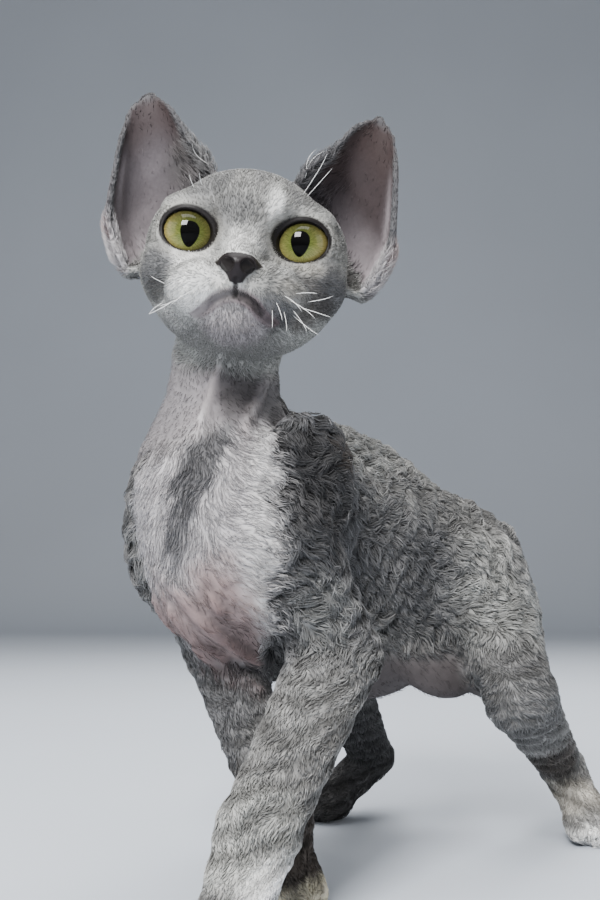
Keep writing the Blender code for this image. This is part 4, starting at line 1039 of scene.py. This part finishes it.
def makeCoat():
    rng, chosen, shares, long, wide = scatter()
    print("tufts:", len(chosen))
    root = blendAt(skinPoints, chosen, shares)
    normal = blendAt(skinNormals, chosen, shares)
    normal /= np.linalg.norm(normal, axis=1)[:, None]
    colour = blendAt(skinColour, chosen, shares)
    bare = blendAt(skinBare, chosen, shares)
    uv = np.einsum("ij,ijk->ik", shares, skinUv[chosen])
    length = blendAt(long, chosen, shares) * rng.uniform(0.72, 1.2, len(chosen))
    width = blendAt(wide, chosen, shares) * rng.uniform(0.75, 1.25, len(chosen))
    r = {key: blendAt(value, chosen, shares) for key, value in skinRegions.items()}
    places = {}
    for side in (1, -1):
        places[side] = tuple(blendAt(values, chosen, shares) for values in earPlace[side])
    flow = growth(root, normal, r, places)
    across = np.cross(normal, flow)
    nearEar = np.maximum(*[smooth(2.6, 1.4, places[side][0]) for side in (1, -1)])
    wavy = (1 - nearEar) * (1 - r["head"])
    for name, share in (("neck", 0.7), ("chest", 0.6), ("belly", 0.6), ("limb", 0.45)):
        wavy *= 1 - share * r[name]
    turn = rng.normal(0, 1, len(root)) * (0.20 + 0.14 * wavy)
    turn = turn + 0.75 * wavy * noise(root, 8, 21) + 0.25 * noise(root, 4, 22)
    flow = flow * np.cos(turn)[:, None] + across * np.sin(turn)[:, None]
    depth, _ = coatDepth(root)
    depth = np.where(bare > 0.5, np.minimum(depth, 1.0), depth)
    onEar = np.maximum(*[onEarShell(*places[side][:2]) for side in (1, -1)])
    soft = np.maximum(*[earFoot(places[side][1]) * (places[side][0] < 3) for side in (1, -1)])
    depth = depth + (0.42 + 1.9 * soft - depth) * onEar
    lift = rng.uniform(0.75, 1.15, len(root))
    phase = math.tau * noise(root, 13, 31)
    # the wavy coat gathers into small curls: each tuft leans to the nearest of the guides
    guides = rng.random(len(root)) < 1.0 / coat["clumpSpace"] ** 2
    lanes = KDTree(int(guides.sum()))
    for k, i in enumerate(np.flatnonzero(guides)):
        lanes.insert(root[i], k)
    lanes.balance()
    found = [lanes.find(point)[1:] for point in root]
    guide, apart = np.array([f[0] for f in found]), np.array([f[1] for f in found])
    length[guides] *= 1 + 0.25 * wavy[guides]

    # the path of each picked tuft over the skin: its rings' middles, the way up there, and the wave's crest
    def grow(picked, count):
        path = np.empty((len(picked), count, 3))
        ups = np.empty_like(path)
        place, n = root[picked].copy(), normal[picked]
        way, sideways = flow[picked], np.cross(normal[picked], flow[picked])
        path[:, 0], ups[:, 0] = place - n * 0.25, n
        some = {key: value[picked] for key, value in r.items()}
        crests = np.ones((len(picked), count))
        for k in range(1, count):
            t = k / (count - 1)
            sway = coat["curl"] * wavy[picked] * np.cos(4.6 * t + phase[picked])
            place = place + (way + sideways * sway[:, None]) * (length[picked] / (count - 1))[:, None]
            for i in range(len(place)):
                place[i], ups[i, k], _, _ = skinTree.find_nearest(place[i])
            way = way - (way * ups[:, k]).sum(axis=1)[:, None] * ups[:, k]
            way /= np.linalg.norm(way, axis=1)[:, None] + 1e-9
            sideways = np.cross(ups[:, k], way)
            crests[:, k] = waves(place, some)
            tall = depth[picked] * lift[picked] * (0.30 + 0.62 * t) * (1 - wavy[picked] * 0.5 * (1 - crests[:, k]))
            path[:, k] = place + ups[:, k] * tall[:, None]
        return path, ups, crests

    made = []
    guidePaths = {count: grow(np.flatnonzero(guides), count)[0] for count in (3, 4)}
    onHead = r["head"] + onEar > 0.5
    curly = ~onHead & (wavy > 0.6)
    for label, count, size, mask in (("curls", 4, coat["curlsInPiece"], curly),
                                     ("coat", 3, coat["tuftsInPiece"], ~curly & ~onHead),
                                     ("headCoat", 3, coat["tuftsInPiece"], onHead)):
        picked = np.flatnonzero(mask)
        picked = picked[np.argsort(root[picked, 1] // 12 * 1000 + root[picked, 2])]
        path, ups, crests = grow(picked, count)
        pull = coat["clump"] * wavy[picked] * smooth(6, 3, apart[picked])
        share = pull[:, None] * np.linspace(0, 1, count)[None] ** 0.7
        path += (guidePaths[count][guide[picked]] - path) * share[:, :, None]
        # a random tone for each tuft, and painted light and shade of the curls: lighter near a curl's middle, darker
        # between curls
        shade = np.clip(rng.normal(0, 0.13, len(picked)) + 1.0, 0.6, 1.5)
        shade *= 1 + wavy[picked] * (0.16 - 0.20 * smooth(0.4, 2.6, apart[picked]))
        # painted shade deep in the coat: each tuft dark at the root and lighter to the tip, and painted light and
        # shade of the waves: lighter on crests, darker in troughs
        low = (0.80 - 0.38 * wavy[picked] - 0.20 * r["head"][picked])[:, None]
        toneAndPaintedShade = (low + (1.14 - low) * np.linspace(0, 1, count)[None]) * shade[:, None]
        toneAndPaintedShade *= 1 + wavy[picked][:, None] * 0.4 * (crests - 0.5) * (np.arange(count) > 0)
        tint = np.clip(colour[picked][:, None] * toneAndPaintedShade[:, :, None], 0, 1)
        for part, start in enumerate(range(0, len(picked), size)):
            cut = slice(start, start + size)
            made.append(strands(f"{label}{part + 1}", path[cut], ups[cut], width[picked][cut], tint[cut],
                                uv[picked][cut]))
    return made


coatPieces = makeCoat()
print("coat pieces:", len(coatPieces))

# Whiskers, brow hairs and the long pale hairs at the ears: root in the face's axes, direction, length, curl
whiskers = {"thick": 0.19, "shade": (0.85, 0.85, 0.83), "rings": 9}
longHairs = [
    ((15, -18, -21.5), (0.7, -0.5, -0.5), 11, 5), ((17, -16, -22.5), (0.8, -0.4, -0.45), 12, 6),
    ((13, -18.5, -24.5), (0.5, -0.6, -0.9), 9, 4), ((18, -14, -25), (0.7, -0.3, -0.8), 10, 6),
    ((20, -12, -23.5), (1.0, -0.2, -0.1), 11, 5), ((16, -16, -27), (0.2, -0.5, -1.0), 9, 3),
    ((19, -12, -27.5), (0.9, -0.4, -0.5), 12, 4), ((21, -9, -21), (1.0, -0.3, 0.5), 9, 5),
    ((12, -18, -27.5), (0.15, -0.4, -1.0), 8, 2), ((18, -15, -20), (0.9, -0.4, 0.15), 8, 5),
    ((-13, -18.5, -23), (-0.5, -0.6, -0.9), 6, 4), ((-16, -16.5, -24.5), (-0.5, -0.4, -0.9), 6, 3),
    ((-18, -14, -26), (-0.9, -0.3, -0.6), 7, 4), ((-21, -10, -27), (-0.8, -0.2, -0.6), 9, 5),
    ((-23, -4, -19), (-0.9, -0.2, 0.5), 6, -4), ((-26, 0, -25), (-0.8, 0.1, -0.6), 7, -5),
    ((17, 1, 16), (0.5, -0.4, 0.9), 16, -7), ((19, 2, 17), (0.7, -0.3, 0.8), 13, -6),
    ((-15, -1, 14), (-0.3, -0.5, 0.8), 5, 4), ((-18, 0, 14), (-0.5, -0.4, 0.8), 5, 4),
    ((18, 15, 25), (0.8, -0.3, 0.9), 16, -6), ((20, 15, 25), (0.5, -0.4, 1.0), 12, -5),
    ((-19, 16, 26), (-0.7, -0.3, 0.9), 10, 5),
]


def makeWhiskers():
    count, steps = len(longHairs), np.linspace(0, 1, whiskers["rings"])
    path = np.empty((count, whiskers["rings"], 3))
    for i, (root, way, length, curl) in enumerate(longHairs):
        hit, normal, _, _ = skinTree.find_nearest(fromFace(root))
        way = unit(np.array(way, float)) @ face
        bend = np.cross(unit(way), np.array(normal))
        path[i] = (np.array(hit) - np.array(normal) * 0.5 + way * length * 0.8 * steps[:, None]
                   + np.array(normal) * length * 0.25 * np.sin(steps * 2.2)[:, None]
                   + bend * curl * 0.5 * (steps ** 2)[:, None])
    up = np.tile(face[1], (count, whiskers["rings"], 1))
    colour = np.tile(np.array(whiskers["shade"]), (count, whiskers["rings"], 1))
    uv = np.stack([np.linspace(0.02, 0.98, count), np.full(count, 0.5)], axis=1)
    return strands("whiskers", path, up, np.full(count, whiskers["thick"]), colour, uv, flat=0.8)


whiskerPiece = makeWhiskers()


# Eyes: a ball with a raised cornea, marked by where each point is round the line of sight
def makeEye(side):
    name = "eyeballLeft" if side > 0 else "eyeballRight"
    deselectAll()
    bpy.ops.mesh.primitive_uv_sphere_add(segments=96, ring_count=64, radius=1.0, location=(0, 0, 0))
    made = bpy.context.active_object
    made.name = name
    gaze = unit(eye["gazeLeft"] if side > 0 else eye["gazeRight"]) @ face
    right = unit(np.cross(face[2], gaze))
    up = np.cross(gaze, right)
    p = pointsOf(made)  # local: Z is the line of sight
    raised = 1 + eye["bulge"] * smooth(0.60, 1.0, p[:, 2])
    centre = fromFace((eye["centre"][0] * side, eye["centre"][1], eye["centre"][2]))
    axes = np.array([right, up, gaze])
    setPoints(made, toScene(centre + (p * raised[:, None] * eye["radius"]) @ axes))
    addAttribute(made.data, "sight", "FLOAT_VECTOR", p)
    selectOnly(made)
    bpy.ops.object.shade_smooth()
    return made


eyes = [makeEye(1), makeEye(-1)]
print("eyes made")


# Materials
def newMaterial(name):
    made = bpy.data.materials.new(name)
    made.use_nodes = True
    tree = made.node_tree
    return made, tree, tree.nodes["Principled BSDF"]


# A node with its settings, and its inputs given by name or, with a leading i, by number
def node(tree, kind, **values):
    made = tree.nodes.new(kind)
    for key, value in values.items():
        if key.startswith("i") and key[1:].isdigit():
            target = made.inputs[int(key[1:])]
        elif key in made.inputs:
            target = made.inputs[key]
        elif key.replace("_", " ") in made.inputs:
            target = made.inputs[key.replace("_", " ")]
        else:
            setattr(made, key, value)
            continue
        if isinstance(value, bpy.types.NodeSocket):
            tree.links.new(value, target)
        else:
            target.default_value = value
    return made


def maths(tree, how, a, b=0.0):
    return node(tree, "ShaderNodeMath", operation=how, i0=a, i1=b).outputs[0]


# A 0 to 1 noise brought to either side of 0, times an amount
def swing(tree, value, amount):
    return maths(tree, "MULTIPLY", maths(tree, "SUBTRACT", value, 0.5), amount)


def squares(tree, a, b):
    return maths(tree, "ADD", maths(tree, "MULTIPLY", a, a), maths(tree, "MULTIPLY", b, b))


def mixed(tree, factor, a, b, how="MIX"):
    made = node(tree, "ShaderNodeMix", data_type="RGBA", blend_type=how)
    for index, value in ((0, factor), (6, a), (7, b)):
        if isinstance(value, bpy.types.NodeSocket):
            tree.links.new(value, made.inputs[index])
        else:
            made.inputs[index].default_value = value
    return made.outputs[2]


def ramp(tree, value, stops):
    made = node(tree, "ShaderNodeValToRGB", i0=value)
    elements = made.color_ramp.elements
    while len(elements) > 1:
        elements.remove(elements[-1])
    for k, (place, colour) in enumerate(stops):
        element = elements[0] if k == 0 else elements.new(place)
        element.position = place
        element.color = (*colour, 1) if len(colour) == 3 else colour
    return made.outputs[0]


# Fine hair grain for skin and coat: a light and dark fleck, and a height for the bump
def grainGroup():
    group = bpy.data.node_groups.new("hairGrain", "ShaderNodeTree")
    group.interface.new_socket("Scale", in_out="INPUT", socket_type="NodeSocketFloat")
    group.interface.new_socket("Depth", in_out="INPUT", socket_type="NodeSocketFloat")
    group.interface.new_socket("Fleck", in_out="OUTPUT", socket_type="NodeSocketFloat")
    group.interface.new_socket("Height", in_out="OUTPUT", socket_type="NodeSocketFloat")
    start, end = group.nodes.new("NodeGroupInput"), group.nodes.new("NodeGroupOutput")
    place = node(group, "ShaderNodeTexCoord").outputs["Object"]
    fine = node(group, "ShaderNodeTexNoise", Vector=place, Scale=start.outputs["Scale"], Detail=3.0).outputs["Fac"]
    coarse = maths(group, "MULTIPLY", start.outputs["Scale"], 0.22)
    broad = node(group, "ShaderNodeTexNoise", Vector=place, Scale=coarse, Detail=2.0).outputs["Fac"]
    both = maths(group, "ADD", maths(group, "MULTIPLY", fine, 0.6), maths(group, "MULTIPLY", broad, 0.4))
    fleck = maths(group, "ADD", swing(group, both, start.outputs["Depth"]), 1.0)
    group.links.new(fleck, end.inputs["Fleck"])
    group.links.new(both, end.inputs["Height"])
    return group


hairGrain = grainGroup()


def placeGrain(tree, scale, depth):
    made = tree.nodes.new("ShaderNodeGroup")
    made.node_tree = hairGrain
    made.inputs["Scale"].default_value = scale
    made.inputs["Depth"].default_value = depth
    return made


def skinMaterial():
    made, tree, shader = newMaterial("thin-haired skin")
    colour = node(tree, "ShaderNodeAttribute", attribute_name="markingsAndPaintedShade").outputs["Color"]
    wet = node(tree, "ShaderNodeAttribute", attribute_name="wet").outputs["Fac"]
    grain = placeGrain(tree, 900.0, 0.55)
    tree.links.new(mixed(tree, 1.0, colour, grain.outputs["Fleck"], "MULTIPLY"), shader.inputs["Base Color"])
    tree.links.new(maths(tree, "SUBTRACT", 0.75, maths(tree, "MULTIPLY", wet, 0.35)), shader.inputs["Roughness"])
    relief = node(tree, "ShaderNodeBump", Strength=0.35, Distance=0.0004, Height=grain.outputs["Height"])
    tree.links.new(relief.outputs[0], shader.inputs["Normal"])
    shader.inputs["Specular IOR Level"].default_value = 0.25
    return made


def coatMaterial():
    made, tree, shader = newMaterial("wavy kitten coat")
    colour = node(tree, "ShaderNodeAttribute", attribute_name="markingsAndPaintedShade").outputs["Color"]
    grain = placeGrain(tree, 1500.0, 0.35)
    tree.links.new(mixed(tree, 1.0, colour, grain.outputs["Fleck"], "MULTIPLY"), shader.inputs["Base Color"])
    shader.inputs["Roughness"].default_value = 0.62
    shader.inputs["Specular IOR Level"].default_value = 0.22
    shader.inputs["Sheen Weight"].default_value = 0.05
    shader.inputs["Sheen Roughness"].default_value = 0.4
    return made


def whiskerMaterial():
    made, tree, shader = newMaterial("white whisker")
    grain = placeGrain(tree, 400.0, 0.2)
    shade = mixed(tree, 1.0, (*whiskers["shade"], 1), grain.outputs["Fleck"], "MULTIPLY")
    tree.links.new(shade, shader.inputs["Base Color"])
    shader.inputs["Roughness"].default_value = 0.35
    return made


iris = {"near": (0.090, 0.115, 0.022), "middle": (0.185, 0.185, 0.055), "far": (0.275, 0.215, 0.072),
        "ring": (0.030, 0.022, 0.012), "white": (0.42, 0.36, 0.34), "pupil": (0.002, 0.002, 0.002)}


def eyeMaterial():
    made, tree, shader = newMaterial("wet green eye")
    sight = node(tree, "ShaderNodeAttribute", attribute_name="sight").outputs["Vector"]
    split = node(tree, "ShaderNodeSeparateXYZ", Vector=sight)
    x, y = split.outputs[0], split.outputs[1]
    far = maths(tree, "SQRT", squares(tree, x, y))
    outer = eye["irisRadius"] / eye["radius"]
    around = node(tree, "ShaderNodeVectorMath", operation="NORMALIZE",
                  i0=node(tree, "ShaderNodeCombineXYZ", X=x, Y=y).outputs[0]).outputs[0]
    ray = node(tree, "ShaderNodeVectorMath", operation="MULTIPLY", i0=around, i1=(11.0, 11.0, 11.0)).outputs[0]
    drift = node(tree, "ShaderNodeVectorMath", operation="SCALE", i0=sight, Scale=3.5).outputs[0]
    ray = node(tree, "ShaderNodeVectorMath", operation="ADD", i0=ray, i1=drift).outputs[0]
    fibres = node(tree, "ShaderNodeTexNoise", Vector=ray, Scale=1.6, Detail=5.0, Roughness=0.62).outputs["Fac"]
    specks = node(tree, "ShaderNodeTexNoise", Vector=sight, Scale=34.0, Detail=2.0).outputs["Fac"]
    share = maths(tree, "ADD", maths(tree, "DIVIDE", far, outer), swing(tree, fibres, 0.6))
    share = maths(tree, "SUBTRACT", share, maths(tree, "MULTIPLY", y, 0.22))  # golden below, greener above
    colour = ramp(tree, share, [(0.30, iris["near"]), (0.60, iris["middle"]), (0.93, iris["far"])])
    light = maths(tree, "ADD", 0.30, maths(tree, "MULTIPLY", fibres, 1.15))
    light = maths(tree, "ADD", light, swing(tree, specks, 0.5))
    colour = mixed(tree, 1.0, colour, light, "MULTIPLY")
    # painted shade: the iris darker towards the top, under the upper lid's shadow, and lighter below
    lidShadeOnIris = node(tree, "ShaderNodeMapRange", i0=y, i1=-0.75, i2=0.60, i3=1.9, i4=0.25).outputs[0]
    colour = mixed(tree, 1.0, colour, lidShadeOnIris, "MULTIPLY")
    edge = node(tree, "ShaderNodeMapRange", i0=far, i1=outer - 0.06, i2=outer).outputs[0]
    colour = mixed(tree, edge, colour, (*iris["ring"], 1))
    white = node(tree, "ShaderNodeMapRange", i0=far, i1=outer + 0.01, i2=outer + 0.05).outputs[0]
    colour = mixed(tree, white, colour, (*iris["white"], 1))
    # the pupil: wide above its middle, pointed below
    narrow = maths(tree, "ADD", eye["pupilWide"], maths(tree, "MULTIPLY", y, 0.20))
    wide = maths(tree, "DIVIDE", x, narrow)
    tall = maths(tree, "DIVIDE", maths(tree, "SUBTRACT", y, 0.02), eye["pupilTall"])
    pupil = node(tree, "ShaderNodeMapRange", i0=squares(tree, wide, tall), i1=1.06, i2=0.94).outputs[0]
    front = maths(tree, "GREATER_THAN", split.outputs[2], 0.0)
    colour = mixed(tree, maths(tree, "MULTIPLY", pupil, front), colour, (*iris["pupil"], 1))
    tree.links.new(colour, shader.inputs["Base Color"])
    shader.inputs["Roughness"].default_value = 0.5
    shader.inputs["Specular IOR Level"].default_value = 0.0
    # the floor would show in the pupil's lower part, so the gloss is weaker there
    low = node(tree, "ShaderNodeMapRange", i0=y, i1=0.16, i2=0.02, i3=0.0, i4=0.8).outputs[0]
    tree.links.new(maths(tree, "SUBTRACT", 1.0, maths(tree, "MULTIPLY", pupil, low)), shader.inputs["Coat Weight"])
    shader.inputs["Coat Roughness"].default_value = 0.015
    shader.inputs["Coat IOR"].default_value = 1.34
    return made


def dress(obj, material):
    obj.data.materials.clear()
    obj.data.materials.append(material)


skinLook, coatLook, eyeLook, whiskerLook = skinMaterial(), coatMaterial(), eyeMaterial(), whiskerMaterial()
dress(skin, skinLook)
for piece in coatPieces:
    dress(piece, coatLook)
dress(whiskerPiece, whiskerLook)
for piece in eyes:
    dress(piece, eyeLook)

# What rides on what
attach(skin, "root")
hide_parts(*fleshNodes)
for piece in coatPieces + [whiskerPiece]:
    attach(piece, "root")
for piece, name in zip(eyes, ("eye_left", "eye_right")):
    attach(piece, "root")
    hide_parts(name)

# Floor, lights and camera
studio = {
    "floorShade": (0.52, 0.56, 0.62), "worldShade": (0.92, 0.93, 0.95), "worldStrength": 0.25,
    "ahead": (-0.743, 0.669, 0), "across": (0.669, 0.743, 0),  # level, as the camera looks
    "paperLong": 6.0, "paperWide": 9.0, "paperFlat": 3.6, "paperBend": 0.9, "bendRadius": 0.576, "paperInFront": 1.8,
    "focal": 1078, "pictureTall": 900, "lookUp": 135,  # in the picture's own pixels
    "cameraPlace": (286.25, -287.35, 95.0),
}
# Each light from the head, in metres: ahead, across, up, then its size and power
lights = {"key": (-0.85, -0.28, 0.62, 0.42, 27.0), "left": (-0.30, -1.1, 0.35, 0.9, 5.0),
          "right": (-0.10, 1.2, 0.35, 0.9, 4.0), "top": (-0.1, 0.0, 1.1, 0.9, 12.0),
          "rim": (0.7, 0.2, 0.75, 0.8, 12.0)}


def makeFloor():
    deselectAll()
    bpy.ops.mesh.primitive_grid_add(x_subdivisions=4, y_subdivisions=60, size=1.0, location=(0, 0, 0))
    floor = bpy.context.active_object
    floor.name = "studioFloor"
    p = pointsOf(floor)
    level, curve = studio["paperFlat"], studio["paperBend"]
    run = (p[:, 1] + 0.5) * studio["paperLong"]
    bend = np.clip(run - level, 0, curve) / curve * math.pi / 2
    straight = np.clip(run - level - curve, 0, None)
    ahead = np.clip(run, None, level) - studio["paperInFront"] + studio["bendRadius"] * np.sin(bend)
    up = studio["bendRadius"] * (1 - np.cos(bend)) + straight
    flat, across = unit(studio["ahead"]), unit(studio["across"])
    wide = p[:, :1] * studio["paperWide"]
    setPoints(floor, across * wide + flat * ahead[:, None] + np.array((0, 0, 1)) * up[:, None])
    selectOnly(floor)
    bpy.ops.object.shade_smooth()
    made, tree, shader = newMaterial("studio paper")
    place = node(tree, "ShaderNodeTexCoord").outputs["Object"]
    soft = node(tree, "ShaderNodeTexNoise", Vector=place, Scale=2.2, Detail=2.0).outputs["Fac"]
    base = studio["floorShade"]
    tree.links.new(ramp(tree, soft, [(0.3, tuple(c * 0.95 for c in base)), (0.7, base)]), shader.inputs["Base Color"])
    shader.inputs["Roughness"].default_value = 0.9
    dress(floor, made)


def areaLight(name, place, target, size, power):
    data = bpy.data.lights.new(name, "AREA")
    data.size, data.energy = size, power
    made = bpy.data.objects.new(name, data)
    made.location = place
    made.rotation_euler = (Vector(target) - Vector(place)).to_track_quat("-Z", "Y").to_euler()
    bpy.context.scene.collection.objects.link(made)


def makeLights():
    forward, across = unit(studio["ahead"]), unit(studio["across"])
    head = toScene(fromFace((0, 0, 0)))
    for name, (ahead, aside, up, size, power) in lights.items():
        areaLight(name, tuple(head + forward * ahead + across * aside + (0, 0, up)), tuple(head), size, power)
    world = bpy.data.worlds.new("studio")
    world.use_nodes = True
    world.node_tree.nodes["Background"].inputs[0].default_value = (*studio["worldShade"], 1)
    world.node_tree.nodes["Background"].inputs[1].default_value = studio["worldStrength"]
    bpy.context.scene.world = world


def makeCamera():
    data = bpy.data.cameras.new("camera")
    data.sensor_fit = "VERTICAL"
    data.sensor_height = 36.0
    data.lens = data.sensor_height * studio["focal"] / studio["pictureTall"]
    data.clip_start = 0.01
    made = bpy.data.objects.new("camera", data)
    way = Vector(studio["ahead"]).normalized() + Vector((0, 0, studio["lookUp"] / studio["focal"]))
    made.location = toScene(studio["cameraPlace"])
    made.rotation_euler = way.to_track_quat("-Z", "Y").to_euler()
    bpy.context.scene.collection.objects.link(made)
    bpy.context.scene.camera = made


makeFloor()
makeLights()
makeCamera()
print("studio ready")
